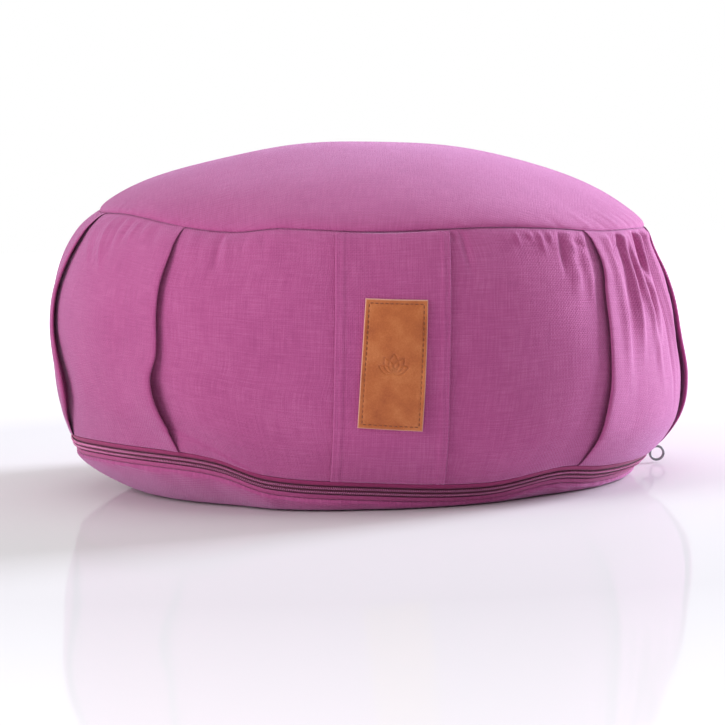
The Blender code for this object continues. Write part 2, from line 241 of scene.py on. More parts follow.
def grid_mesh(name, rows, cloth, first_pole=None, last_pole=None, around=True, tube=False):
    """Faces between rows of points. Cloth holds each point's place on the flat cloth, with one more column where
    the rows run round. Poles close the first and the last row. A tube also joins its last row to its first."""
    rows = np.asarray(rows, float)
    down, across = rows.shape[:2]
    i, j = np.meshgrid(np.arange(down if tube else down - 1), np.arange(across if around else across - 1),
                       indexing="ij")
    i, j = i.ravel(), j.ravel()
    i2, j2 = (i + 1) % down, (j + 1) % across
    corners = np.stack([i * across + j, i2 * across + j, i2 * across + j2, i * across + j2], 1)
    uv = np.stack([cloth[i, j], cloth[i2, j], cloth[i2, j + 1], cloth[i, j + 1]], 1)
    points = rows.reshape(-1, 3).tolist()
    faces = corners.tolist()
    corner_uv = [uv.reshape(-1, 2)]
    j = np.arange(across if around else across - 1)
    for pole, row, order in ((first_pole, 0, (0, 1)), (last_pole, down - 1, (1, 0))):
        if pole is None:
            continue
        sides = np.stack([j, (j + 1) % across], 1)[:, order] + row * across
        faces += [(len(points), a, b) for a, b in sides.tolist()]
        points.append(list(pole))
        ends = np.stack([cloth[row, j], cloth[row, j + 1]], 1)[:, order]
        centre = np.broadcast_to(cloth[row].mean(0), (len(j), 1, 2))
        corner_uv.append(np.concatenate([centre, ends], 1).reshape(-1, 2))
    mesh = bpy.data.meshes.new(name)
    mesh.from_pydata(points, [], faces)
    layer = mesh.uv_layers.new(name="cloth")
    layer.data.foreach_set("uv", np.concatenate(corner_uv).astype(np.float32).ravel())
    mesh.shade_smooth()
    return mesh


def show(name, mesh, finish, slot, *nodes):
    """Puts a mesh in the scene as a piece that rides on the cushion and stands for its construction solids."""
    piece = bpy.data.objects.new(name, mesh)
    bpy.context.scene.collection.objects.link(piece)
    mesh.materials.clear()
    mesh.materials.append(finish)
    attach(piece, "root")
    if nodes:
        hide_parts(*nodes)
    print(name, "has", sum(len(face.vertices) - 2 for face in mesh.polygons), "triangles")
    return piece


# %% [markdown]
# A material is a tree of nodes. One small function adds a node, sets its properties and feeds its sockets,
# and another turns the usual sRGB hex colours into the linear ones that a renderer counts in.

# %% Colours and nodes
def colour(code):
    """An sRGB hex colour as linear red, green, blue and alpha."""
    parts = [int(code[i:i + 2], 16) / 255.0 for i in (1, 3, 5)]
    return (*[p / 12.92 if p <= 0.04045 else ((p + 0.055) / 1.055) ** 2.4 for p in parts], 1.0)


def add(tree, kind, inputs=(), **settings):
    """Adds one node. Settings are its own properties; inputs are its sockets' values, or the sockets feeding them."""
    made = tree.nodes.new(kind)
    for key, value in settings.items():
        setattr(made, key, value)
    for key, value in dict(inputs).items():
        if isinstance(value, bpy.types.NodeSocket):
            tree.links.new(value, made.inputs[key])
        else:
            made.inputs[key].default_value = value
    return made


def new_finish(name, **sockets):
    """A material with its Principled shader's constant sockets set, its tree and that shader."""
    finish = bpy.data.materials.new(name)
    finish.use_nodes = True
    shader = finish.node_tree.nodes["Principled BSDF"]
    for key, value in sockets.items():
        shader.inputs[key.replace("_", " ")].default_value = value
    return finish, finish.node_tree, shader


print("fuchsia cotton is", [round(c, 3) for c in colour("#AE4E86")])

# %% [markdown]
# The cover is plain-woven cotton, piece-dyed a warm fuchsia and washed soft. Up close it is a grid of
# threads, one over and one under; a step back, what shows is the slubs, which are thicker stretches of
# thread that run straight along the cloth both ways, a slight mottle of the dye, and a soft fibre sheen
# where the light grazes it. Real threads are about 0.45 mm apart. They are drawn 0.9 mm apart, because
# finer ones wouldn't show at this distance.

# %% Plain-woven cotton
THREAD_MM = 0.9
SLUB_LONG_MM = 14.0
SLUB_WIDE_MM = 0.8
MOTTLE_MM = 28.0


def make_cotton(name, deep, body, pale, thread_mm=THREAD_MM, height=0.00022):
    finish, tree, shader = new_finish(
        name, Roughness=0.86, IOR=1.45, Sheen_Weight=0.5, Sheen_Roughness=0.45, Sheen_Tint=colour("#F6D2FF"),
        Specular_IOR_Level=0.35)
    place = add(tree, "ShaderNodeUVMap", uv_map="cloth").outputs["UV"]
    axes = add(tree, "ShaderNodeSeparateXYZ", {0: place})
    ridges = []
    for axis in ("X", "Y"):
        turns = add(tree, "ShaderNodeMath", {0: axes.outputs[axis], 1: math.pi / millimetres(thread_mm)},
                    operation="MULTIPLY").outputs[0]
        wave = add(tree, "ShaderNodeMath", {0: turns}, operation="SINE").outputs[0]
        ridges.append(add(tree, "ShaderNodeMath", {0: wave}, operation="ABSOLUTE").outputs[0])
    over = add(tree, "ShaderNodeTexChecker",
               {"Vector": place, "Scale": 1.0 / millimetres(thread_mm)}).outputs["Fac"]
    threads = add(tree, "ShaderNodeMix", {0: over, 2: ridges[0], 3: ridges[1]}, data_type="FLOAT").outputs[0]
    slubs = []
    for long_way, wide_way in (((1, 0), "weft"), ((0, 1), "warp")):
        scale = [1.0 / millimetres(SLUB_LONG_MM if way else SLUB_WIDE_MM) for way in long_way]
        stretched = add(tree, "ShaderNodeMapping", {"Vector": place, "Scale": (*scale, 1.0)}).outputs[0]
        slubs.append(add(tree, "ShaderNodeTexNoise",
                         {"Vector": stretched, "Scale": 1.0, "Detail": 2.0, "Roughness": 0.6}).outputs[0])
    slub = add(tree, "ShaderNodeMath", {0: slubs[0], 1: slubs[1]}, operation="ADD").outputs[0]
    slub_share = add(tree, "ShaderNodeMapRange", {0: slub, 1: 0.72, 2: 1.30, 3: 0.0, 4: 1.0}).outputs[0]
    mottle = add(tree, "ShaderNodeTexNoise",
                 {"Vector": place, "Scale": 1.0 / millimetres(MOTTLE_MM), "Detail": 4.0}).outputs[0]
    blotch = add(tree, "ShaderNodeMath", {0: mottle, 1: 0.45}, operation="MULTIPLY").outputs[0]
    # The threads' relief also tints the colour, paler on their crowns and deeper between them: painted light and
    # shade. The slubs and the mottle are the dye's own tone.
    grain = add(tree, "ShaderNodeMath", {0: threads, 1: 0.22}, operation="MULTIPLY").outputs[0]
    shade = add(tree, "ShaderNodeMath", {0: slub_share, 1: 0.52, 2: blotch}, operation="MULTIPLY_ADD").outputs[0]
    shade = add(tree, "ShaderNodeMath", {0: shade, 1: grain}, operation="ADD").outputs[0]
    ramp = add(tree, "ShaderNodeValToRGB", {0: shade})
    ramp.color_ramp.elements[0].position = 0.15
    ramp.color_ramp.elements[0].color = colour(deep)
    ramp.color_ramp.elements[1].position = 1.0
    ramp.color_ramp.elements[1].color = colour(pale)
    middle = ramp.color_ramp.elements.new(0.58)
    middle.color = colour(body)
    tree.links.new(ramp.outputs[0], shader.inputs["Base Color"])
    relief = add(tree, "ShaderNodeMath", {0: slub_share, 1: 0.8, 2: threads}, operation="MULTIPLY_ADD").outputs[0]
    bump = add(tree, "ShaderNodeBump", {"Height": relief, "Strength": 0.55, "Distance": height})
    tree.links.new(bump.outputs[0], shader.inputs["Normal"])
    return finish


cotton = make_cotton("plain-woven cotton", "#A2447D", "#AE4E86", "#BC6096")
print("threads per 10 cm as drawn:", round(100 / THREAD_MM))

# %% [markdown]
# The pleats are where the maker folds the tall side before sewing it to the round top, so that the side has
# cloth to spare where the filling swells it most. Each one is an S of three layers: a lip that lies on top,
# the cloth turned back under it, and the cloth it covers. A section through the S is a short table, and a
# second table says, for each pleat, where its edge runs down the wall and how far it opens.

# %% Pleats
# Across the S, from the covering cloth to the covered: along mm, share of the lip's height, share of the sinking
PLEAT_SECTION = (
    (-26.0, 0.00, 0.00),
    (-16.0, 0.32, 0.00),
    (-8.0, 0.76, 0.00),
    (-3.2, 1.00, 0.00),
    (-1.0, 1.00, 0.00),
    (0.0, 0.72, 0.00),
    (-0.7, 0.40, 0.00),
    (-2.6, 0.28, 0.00),
    (-8.0, 0.05, -0.15),
    (-10.5, 0.00, -0.45),
    (-9.5, -0.05, -0.75),
    (-4.0, 0.00, -0.92),
    (1.0, 0.00, -1.00),
    (6.0, 0.00, -0.75),
    (14.0, 0.00, -0.30),
    (24.0, 0.00, 0.00),
)
# A pleat that is like the others: down the wall, lip mm, sinking mm
PLAIN_PLEAT = (
    (0.00, 0.5, 0.3),
    (0.04, 1.1, 0.8),
    (0.12, 1.9, 1.3),
    (0.30, 2.4, 1.5),
    (0.55, 2.6, 1.5),
    (0.78, 3.0, 2.2),
    (0.92, 1.8, 1.4),
    (0.98, 0.8, 0.5),
    (1.00, 0.6, 0.3),
)


def plain_pleat(at_seam, at_zip):
    return [(down, between(at_seam, at_zip, down), lip, sunk) for down, lip, sunk in PLAIN_PLEAT]


LEFT_SIDE_PLEAT = (
    (0.00, -73.0, 0.5, 0.3),
    (0.05, -71.6, 1.4, 0.8),
    (0.12, -70.5, 2.2, 1.2),
    (0.22, -71.0, 2.4, 1.2),
    (0.35, -73.3, 2.4, 1.2),
    (0.50, -73.4, 2.4, 1.4),
    (0.62, -70.4, 2.8, 2.0),
    (0.74, -67.8, 3.2, 3.0),
    (0.83, -67.6, 3.0, 2.8),
    (0.93, -71.5, 1.8, 1.6),
    (1.00, -74.0, 0.6, 0.3),
)
LEFT_FRONT_PLEAT = (
    (0.00, -39.8, 0.5, 0.3),
    (0.04, -39.3, 1.2, 0.8),
    (0.12, -38.6, 2.0, 1.5),
    (0.25, -38.4, 2.5, 1.6),
    (0.38, -38.0, 2.6, 1.5),
    (0.55, -37.6, 2.5, 1.5),
    (0.66, -38.6, 3.2, 2.6),
    (0.73, -38.3, 3.5, 3.3),
    (0.80, -37.5, 3.4, 3.2),
    (0.90, -36.1, 2.4, 2.2),
    (0.97, -35.5, 1.1, 0.8),
    (1.00, -35.3, 0.7, 0.4),
)
RIGHT_FRONT_PLEAT = (
    (0.00, 46.0, 0.5, 0.3),
    (0.04, 46.9, 1.2, 0.7),
    (0.12, 47.5, 2.0, 1.1),
    (0.25, 46.1, 2.3, 1.2),
    (0.40, 45.4, 2.3, 1.3),
    (0.55, 44.6, 2.3, 1.3),
    (0.66, 44.0, 2.5, 1.5),
    (0.78, 43.1, 2.6, 1.7),
    (0.88, 42.5, 2.2, 1.5),
    (0.96, 42.0, 1.2, 0.8),
    (1.00, 41.8, 0.7, 0.4),
)
RIGHT_SIDE_PLEAT = (
    (0.00, 84.0, 0.6, 0.3),
    (0.05, 84.0, 1.6, 0.9),
    (0.15, 84.3, 2.2, 1.4),
    (0.30, 84.5, 2.5, 1.7),
    (0.50, 84.4, 2.6, 1.8),
    (0.65, 83.2, 2.6, 1.9),
    (0.80, 81.4, 2.5, 1.9),
    (0.92, 79.8, 1.7, 1.2),
    (1.00, 79.0, 0.6, 0.3),
)
# Each pleat's course, in order round the cushion. Opens is +1 where its slot faces rising azimuths, -1 falling ones.
PLEATS = (
    (1, plain_pleat(-160.0, -157.0)),
    (1, plain_pleat(-118.0, -114.0)),
    (1, LEFT_SIDE_PLEAT),
    (1, LEFT_FRONT_PLEAT),
    (-1, RIGHT_FRONT_PLEAT),
    (-1, RIGHT_SIDE_PLEAT),
    (-1, plain_pleat(126.0, 122.0)),
    (-1, plain_pleat(167.0, 164.0)),
)
COLUMNS_PER_PLEAT = 44
MID_WALL_RADIUS = 0.166
FRONT_STEP_MM = 1.15
BACK_STEP_MM = 2.8
BACK_STARTS = 92.0


def pleated_columns(down):
    """Azimuth and height out of the wall for every column of every row, through all the pleats."""
    index = np.arange(len(PLEAT_SECTION))
    table = np.column_stack([index, PLEAT_SECTION])
    at = np.linspace(0, index[-1], COLUMNS_PER_PLEAT)
    along, lip_share, sunk_share = (smooth_lookup(table, column, at) for column in (1, 2, 3))
    folded = []
    for opens, course in PLEATS:
        edge, lip, sunk = (smooth_lookup(course, column, down)[:, None] for column in (1, 2, 3))
        azimuth = edge + opens * np.degrees(millimetres(along) / MID_WALL_RADIUS)
        out = millimetres(lip * lip_share + sunk * sunk_share)
        folded.append((azimuth[:, ::opens], out[:, ::opens]))
    azimuths, outs = [], []
    for k, (azimuth, out) in enumerate(folded):
        azimuths.append(azimuth)
        outs.append(out)
        following = folded[(k + 1) % len(folded)][0][:, :1] + (360.0 if k == len(folded) - 1 else 0.0)
        middle = wrapped(float((azimuth[0, -1] + following[0, 0]) / 2))
        step = FRONT_STEP_MM if abs(middle) < BACK_STARTS else BACK_STEP_MM
        span = np.radians(float((following - azimuth[:, -1:]).mean())) * MID_WALL_RADIUS
        count = max(int(span / millimetres(step)), 2)
        shares = np.arange(1, count) / count
        azimuths.append(between(azimuth[:, -1:], following, shares))
        outs.append(np.zeros_like(azimuths[-1]))
    return np.concatenate(azimuths, 1), np.concatenate(outs, 1)


wall_shares = spaced(WALL_HEIGHT, 0.0004, 0.0015, 0.0006, 0.016)
wall_azimuths, wall_folds = pleated_columns(wall_shares)
print("the wall is", wall_azimuths.shape[0], "rows of", wall_azimuths.shape[1], "columns")

# %% [markdown]
# Sewn cloth is never smooth. Longer cloth eased onto a shorter seam leaves gathers, which start sharply at
# the stitches and fade away down the wall, and between them are fine puckers. Filling pushes out broad,
# soft lumps. The gathers that make this cushion look like itself are listed, and the fine puckers
# and lumps come from a seeded generator, so they are the same each time.

# %% Gathers, puckers and lumps
# Where each gather starts at the seam and where it ends, how far down it reaches, its height and its half width:
#   azimuth at seam, azimuth at its end, reach down, height mm, half width mm
GATHERS = (
    (-71.0, -61.0, 0.20, 0.5, 2.4),
    (-66.0, -60.0, 0.20, -0.6, 2.2),
    (-62.0, -56.0, 0.22, 0.7, 2.6),
    (-58.0, -55.0, 0.16, -0.5, 2.0),
    (-54.5, -53.0, 0.12, -0.5, 1.8),
    (-52.0, -51.0, 0.10, 0.5, 1.8),
    (-49.0, -48.0, 0.06, 0.6, 1.6),
    (-46.0, -44.5, 0.09, -1.0, 2.4),
    (-36.0, -35.0, 0.14, 0.4, 1.6),
    (-34.5, -31.5, 0.20, -0.4, 1.8),
    (-32.5, -30.0, 0.20, 0.4, 1.8),
    (-30.0, -28.5, 0.16, -0.8, 2.0),
    (-28.5, -26.0, 0.18, 0.4, 1.8),
    (-25.0, -24.0, 0.10, -0.3, 1.6),
    (-21.0, -20.0, 0.08, -0.3, 1.6),
    (14.6, 14.8, 0.05, -0.8, 1.4),
    (16.5, 17.5, 0.16, -0.8, 2.0),
    (27.5, 28.0, 0.07, 0.5, 1.5),
    (30.5, 31.0, 0.05, 0.5, 1.4),
    (33.0, 33.5, 0.10, 0.5, 1.6),
    (35.5, 35.5, 0.06, 0.5, 1.5),
    (38.4, 37.0, 0.18, -0.9, 1.8),
    (40.5, 39.0, 0.30, 0.9, 2.0),
    (42.5, 41.3, 0.25, -0.7, 1.6),
    (44.6, 43.0, 0.32, 0.9, 1.8),
    (52.0, 50.0, 0.60, 1.3, 3.2),
    (53.8, 53.0, 0.22, -1.0, 1.8),
    (55.6, 55.0, 0.20, 0.7, 1.8),
    (57.0, 51.8, 0.55, -1.1, 3.4),
    (58.6, 56.0, 0.50, 1.2, 2.8),
    (61.2, 59.0, 0.32, -0.9, 2.2),
    (61.0, 62.6, 0.60, 1.2, 3.2),
    (65.5, 66.5, 0.24, -1.6, 2.2),
    (68.2, 64.2, 0.45, 1.2, 2.8),
    (66.5, 61.5, 0.50, -0.8, 2.4),
    (71.0, 69.0, 0.70, -1.0, 2.6),
    (73.5, 73.0, 0.60, 1.2, 3.0),
    (78.0, 77.0, 0.50, -1.0, 2.4),
    (81.0, 80.0, 0.40, 0.9, 2.4),
)
# The crease where the side's hem was pressed up, over the front left of the zip: azimuth, down
HEM_CREASE = ((-38.0, 0.84), (-35.5, 0.86), (-28.0, 0.905), (-21.0, 0.945), (-14.0, 0.975))
HEM_CREASE_MM = 0.7
PUCKER_MM = 4.5
GATHER_STRENGTH = 1.75
seeded = np.random.default_rng(11)


def smoothstep(x):
    x = np.clip(x, 0.0, 1.0)
    return x * x * (3.0 - 2.0 * x)


def gather_relief(azimuth, down):
    relief = np.zeros(azimuth.shape)
    for at_seam, at_end, reach, height, half_width in GATHERS:
        line = between(at_seam, at_end, np.clip(down / reach, 0.0, 1.3))
        aside = np.radians(azimuth - line) * MID_WALL_RADIUS / millimetres(half_width)
        fade = smoothstep(down / 0.03) * (1.0 - smoothstep((down / reach - 0.5) / 0.7))
        relief += millimetres(height) * GATHER_STRENGTH * fade * np.exp(-(aside**2))
    return relief


def ring_noise(spacing_mm, radius, draw):
    """A seeded height for each azimuth that changes over a spacing: a smooth curve through random values."""
    count = round(2 * math.pi * radius / millimetres(spacing_mm))
    values = draw.uniform(-1.0, 1.0, count)
    values = np.append(values, values[0])
    return np.column_stack([np.linspace(-180.0, 180.0, count + 1), values])


def broad_lumps(u, v, size_mm, draw):
    """Soft lumps over a surface laid out in metres: a few crossing waves of about one size."""
    lumps = np.zeros(np.broadcast(u, v).shape)
    for turn, stretch, phase in draw.uniform((0.0, 0.7, 0.0), (math.pi, 1.4, 2 * math.pi), (7, 3)):
        wave = 2 * math.pi / millimetres(size_mm * stretch)
        lumps += np.sin(wave * (u * math.cos(turn) + v * math.sin(turn)) + phase)
    return lumps / 7.0


pucker_rings = [ring_noise(PUCKER_MM * scale, SEAM_RADIUS, seeded) for scale in (1.0, 1.7, 0.8)]


def wall_relief(azimuth, down):
    """Everything that makes the wall uneven, apart from its pleats."""
    right = smoothstep((wrapped(azimuth) - 10.0) / 40.0) * smoothstep((100.0 - wrapped(azimuth)) / 20.0)
    pucker_height = millimetres(0.28 + 0.30 * right)
    fade = smoothstep(down / 0.015) * np.exp(-down / (0.035 + 0.035 * right))
    puckers = smooth_lookup(pucker_rings[0], 1, wrapped(azimuth)) * pucker_height * fade
    long_puckers = smooth_lookup(pucker_rings[1], 1, wrapped(azimuth))
    long_puckers *= pucker_height * smoothstep(down / 0.05) * np.exp(-down / 0.16)
    hem = smooth_lookup(pucker_rings[2], 1, wrapped(azimuth)) * millimetres(0.16) * np.exp((down - 0.98) / 0.03)
    middle = smoothstep(down / 0.2) * smoothstep((1.0 - down) / 0.2)
    along = np.radians(azimuth) * MID_WALL_RADIUS
    lumps = wall_lumps(along, down * WALL_HEIGHT) * millimetres(1.1) * middle
    front_left = smoothstep((wrapped(azimuth) + 39.0) / 3.0) * smoothstep((-14.0 - wrapped(azimuth)) / 8.0)
    line = smooth_lookup(HEM_CREASE, 1, wrapped(azimuth))
    crease = smoothstep((down - line) / 0.012) * smoothstep((1.0 - down) / 0.03)
    crease = millimetres(HEM_CREASE_MM) * crease * front_left
    puckers = puckers + long_puckers + np.where(down > 0.8, hem, 0.0)
    return gather_relief(azimuth, down) + puckers + lumps + crease


def wall_lumps(along, below):
    return broad_lumps(along, below, 62.0, np.random.default_rng(5))


print(len(GATHERS), "gathers by hand, and puckers every", PUCKER_MM, "mm or so")

# %% [markdown]
# At the seam both cloths turn in towards the stitches, which leaves a fine groove with rounded shoulders.
# An exponential makes that shape in one line: deep at the stitches, gone a few millimetres away. The side
# ends in a hem, whose folded edge rolls in over the zip's tape. The rest of this mesh closes it round the
# filling, out of sight, because a padded piece is one closed form.

# %% The side, with the filling inside it
SEAM_GROOVE = 0.0019
SEAM_SHOULDER = 0.0016
TAPE_TOP = 0.0047
HEM_TOP = 0.0051
RECESS = 0.0020
BASE_HEM = 0.0014
# The folded edge of the hem, from the face of the cloth round to its back: in mm, below mm
HEM_ROLL = ((0.15, 0.02), (0.45, 0.16), (0.85, 0.20), (1.25, 0.08), (1.50, -0.30))


def seam_groove(distance):
    return SEAM_GROOVE * np.exp(-distance / SEAM_SHOULDER)


def hem_down(azimuth):
    return 1.0 - HEM_TOP / (seam_height(azimuth) - zip_height(azimuth))


def base_point(azimuth, reach, raised=0.0, out=0.0):
    fall = np.maximum(1.0 - reach**2, 0.0)
    radius = (SEAM_RADIUS + bulge(azimuth, np.array(BASE_RIM)) + out) * reach
    rim = zip_height(azimuth) * reach**4 - TAPE_TOP - GAP - BASE_HEM
    points = settled(upright(azimuth, radius, rim - BELLY_DROP * fall**BELLY_POWER))
    points[..., 2] += raised
    return points


def cloth_places(rows, start=(0.0, 0.0)):
    """Where each point of a ring-shaped grid lies on the flat cloth, in metres, from the lengths between points."""
    middle = rows[len(rows) // 2]
    across = np.linalg.norm(np.roll(middle, -1, 0) - middle, axis=1)
    along = np.concatenate([[0.0], np.cumsum(across)]) + start[0]
    steps = np.linalg.norm(np.diff(rows, axis=0), axis=2).mean(1)
    below = np.concatenate([[0.0], np.cumsum(steps)]) + start[1]
    return np.stack(np.meshgrid(along, -below), -1)


def make_side():
    down = wall_shares[:, None] * hem_down(wall_azimuths)
    distance = down * WALL_HEIGHT
    out = wall_folds + wall_relief(wall_azimuths, down) - seam_groove(distance)
    wall = wall_point(wall_azimuths, down, out)
    wall[0, :, 2] -= GAP / 2
    at_hem = wall_azimuths[-1]
    last_out = out[-1]
    hem = [foot_point(at_hem, HEM_TOP - millimetres(below), last_out - millimetres(inward))
           for inward, below in HEM_ROLL]
    flat_seam = np.linspace(wall_azimuths[0, 0], wall_azimuths[0, 0] + 360.0, wall_azimuths.shape[1] + 1)[:-1]
    tucked = CLOTH + 2 * GAP
    over = [crown_point(flat_seam, np.array(reach), -tucked) for reach in (0.35, 0.7, 0.9, 0.965)]
    over.append(crown_point(wall_azimuths[0], np.array(0.978), -tucked))
    under = [foot_point(flat_seam, above, -RECESS - GAP) for above in (TAPE_TOP, 0.0)]
    under += [base_point(flat_seam, np.array(reach), tucked, -tucked) for reach in (0.985, 0.95, 0.8, 0.5, 0.25)]
    rows = np.concatenate([over, wall, hem, under])
    mesh = grid_mesh("side_cover", rows, cloth_places(rows), crown_point(np.array(0.0), np.array(0.0), -tucked),
                     base_point(np.array(0.0), np.array(0.0), tucked))
    side = show("side_cover", mesh, cotton, "cotton", "side_band")
    return side


side_cover = make_side()

# %% [markdown]
# The round top is one circle of cloth, cut on the straight grain. The filling domes it, so it is steepest
# at the seam. Its threads run straight across, so its place on the flat cloth is simply its place on the
# circle. Short ridges run in from the seam where the side's gathers pull at it.

# %% The round top
# Ridges that run in over the top from the seam: azimuth at seam, azimuth at its end, reach in mm, height mm, half
# width mm
CROWN_RIDGES = (
    (-70.0, -76.0, 16.0, 0.4, 2.2),
    (-63.0, -68.0, 20.0, 0.5, 2.6),
    (-55.0, -59.0, 14.0, -0.4, 2.2),
    (-47.0, -50.0, 16.0, 0.5, 2.6),
    (-41.0, -43.0, 12.0, -0.5, 2.2),
    (-30.0, -32.0, 12.0, 0.4, 2.2),
    (17.0, 16.0, 12.0, 0.5, 2.6),
    (39.0, 35.0, 14.0, -0.4, 2.2),
    (48.0, 43.0, 22.0, 0.6, 2.8),
    (54.0, 48.0, 18.0, -0.5, 2.4),
    (59.0, 53.0, 26.0, 0.7, 3.0),
    (65.0, 59.0, 22.0, -0.6, 2.6),
    (71.0, 64.0, 26.0, 0.6, 2.8),
    (78.0, 71.0, 18.0, 0.5, 2.4),
    (85.0, 79.0, 18.0, -0.4, 2.4),
)
CROWN_COLUMNS = 720


def crown_profile_shares(steps):
    """Shares of the radius, from the middle out, whose distance over the dome from the seam is in given shares."""
    reach = 1.0 - np.linspace(0.0, 1.0, 4000) ** 2
    line = crown_point(np.array(0.0), reach)
    travelled = np.concatenate([[0.0], np.cumsum(np.linalg.norm(np.diff(line, axis=0), axis=1))])
    return np.interp(steps * travelled[-1], travelled, reach)[::-1], travelled[-1]


def crown_relief(azimuth, inward):
    """Ridges and puckers of the top, by the distance in from the seam."""
    relief = np.zeros(np.broadcast(azimuth, inward).shape)
    for at_seam, at_end, reach, height, half_width in CROWN_RIDGES:
        share = inward / millimetres(reach)
        line = between(at_seam, at_end, np.clip(share, 0.0, 1.0))
        aside = np.radians(wrapped(azimuth - line)) * SEAM_RADIUS / millimetres(half_width)
        relief += millimetres(height) * smoothstep(share / 0.15) * (1 - smoothstep(share)) * np.exp(-(aside**2))
    fine = smooth_lookup(crown_puckers, 1, wrapped(azimuth + inward * 90.0))
    relief += millimetres(0.22) * fine * smoothstep(inward / 0.002) * np.exp(-inward / 0.007)
    return relief


crown_puckers = ring_noise(PUCKER_MM * 1.2, SEAM_RADIUS, seeded)


def make_top():
    azimuth = np.linspace(-180.0, 180.0, CROWN_COLUMNS + 1)
    shares = spaced(0.155, 0.0004, 0.0042, 0.0042, 0.06)
    reach, radius = crown_profile_shares(shares)
    inward = (shares * radius)[::-1][:, None]
    reach = reach[1:, None]
    inward = inward[1:]
    ring = azimuth[:-1][None, :]
    angle = np.radians(azimuth)
    flat = np.stack([(radius - inward) * np.sin(angle), -(radius - inward) * np.cos(angle)], -1)
    lumps = broad_lumps(flat[:, :-1, 0], flat[:, :-1, 1], 95.0, np.random.default_rng(3)) * millimetres(1.3)
    relief = crown_relief(ring, inward) + lumps * smoothstep(inward / 0.03)
    outer = crown_point(ring, reach, relief)
    groove = seam_groove(inward)[..., None]
    outer -= outward(ring) * groove
    outer[-1, :, 2] += GAP / 2
    inner_reach = np.array([0.985, 0.95, 0.88, 0.75, 0.55, 0.3])[:, None]
    inner = crown_point(ring, inner_reach, -0.0013)
    rows = np.concatenate([outer, inner])
    inner_flat = flat[np.searchsorted(reach[:, 0], inner_reach[:, 0]).clip(0, len(flat) - 1)]
    mesh = grid_mesh("round_top", rows, np.concatenate([flat, inner_flat]),
                     crown_point(np.array(0.0), np.array(0.0), lumps[0].mean()),
                     crown_point(np.array(0.0), np.array(0.0), -0.0013))
    top = show("round_top", mesh, cotton, "cotton", "top_panel")
    print("the round top was cut", round(2000 * radius), "mm across, without its turnings")
    return top


def outward(azimuth):
    """The level direction straight out of the settled cushion at an azimuth."""
    angle = np.radians(azimuth)
    return np.stack([np.sin(angle), -np.cos(angle), np.zeros_like(angle)], -1) @ LEAN.T


round_top = make_top()

# %% [markdown]
# The base hangs from the lower half of the zip. Its short hem stands upright, then it turns under the
# cushion and is pressed flat where the weight rests. It is another circle of the same cotton.

# %% The round base
BASE_COLUMNS = 720
BASE_EDGE = ((1.25, -0.30), (1.10, 0.00), (0.70, 0.14), (0.25, 0.08), (0.0, -0.25))


def make_base():
    azimuth = np.linspace(-180.0, 180.0, BASE_COLUMNS + 1)
    ring = azimuth[:-1][None, :]
    reach = np.sqrt(1.0 - spaced(0.155, 0.0012, 0.0045, 0.0045, 0.05)[:-1] ** 1.6)[:, None]
    inner_reach = np.array([0.3, 0.6, 0.8, 0.9, 0.96, 0.985])[:, None]
    inner = base_point(ring, inner_reach, 0.0013, -0.0013)
    rim = base_point(ring, np.array([[1.0]]))
    edge = [rim - outward(ring) * millimetres(inward) + np.array((0.0, 0.0, BASE_HEM + millimetres(up)))
            for inward, up in BASE_EDGE]
    distance = (1.0 - reach) * SEAM_RADIUS
    creases = smooth_lookup(pucker_rings[1], 1, wrapped(ring)) * np.exp(-distance / 0.02)
    creases = creases * smoothstep(distance / 0.001)
    outer = base_point(ring, reach, 0.0, creases * millimetres(0.5))
    rows = np.concatenate([inner, *edge, outer])
    flat_radius = np.concatenate([inner_reach[:, 0], np.ones(len(edge)), reach[:, 0]]) * 0.156
    flat = np.stack([flat_radius[:, None] * np.sin(np.radians(azimuth)),
                     -flat_radius[:, None] * np.cos(np.radians(azimuth))], -1)
    mesh = grid_mesh("round_base", rows, flat, base_point(np.array(0.0), np.array(0.0), 0.0013),
                     base_point(np.array(0.0), np.array(0.0)))
    base = show("round_base", mesh, cotton, "cotton", "base_panel")
    return base


round_base = make_base()

# %% [markdown]
# A straight strip is sewn down the front of the side, between the seam and the hem. Its long edges are
# turned under, so they are a little thicker than the rest, and a row of topstitching runs just inside each
# one and pulls the cloth into a shallow channel. The mesh is a stack of closed rings that each go once
# round the strip's section.

# %% The front strip
PANEL_AZIMUTH = 3.5
PANEL_WIDTH = 0.0545
PANEL_THICK = 0.0009
PANEL_PROUD = 0.0015
STITCH_INSET = 0.0018
TURNED_EDGE = 0.0045
PANEL_COLUMNS = 110


def strip_section(across_m, half_width):
    """How far the strip's face stands over its middle, by the place across it: turned edges, channels, round rims."""
    inside = half_width - np.abs(across_m)
    turned = millimetres(0.35) * (1.0 - smoothstep((inside - TURNED_EDGE + 0.0008) / 0.0016))
    channel = millimetres(0.42) * np.exp(-(((inside - STITCH_INSET) / 0.00045) ** 2))
    rim = PANEL_THICK * (1.0 - np.sqrt(np.clip(1.0 - (1.0 - np.clip(inside / 0.0006, 0.0, 1.0)) ** 2, 0.0, 1.0)))
    return turned - channel - 0.8 * rim


def panel_place(across_m, down, out):
    """A point of the strip by metres across from its middle line, kept straight while the wall bulges."""
    radius = SEAM_RADIUS + bulge(np.array(PANEL_AZIMUTH), down)
    azimuth = PANEL_AZIMUTH + np.degrees(across_m / radius)
    groove = seam_groove(down * WALL_HEIGHT)
    relief = wall_relief(azimuth, down) * 0.8
    return wall_point(azimuth, down, out + relief - groove)


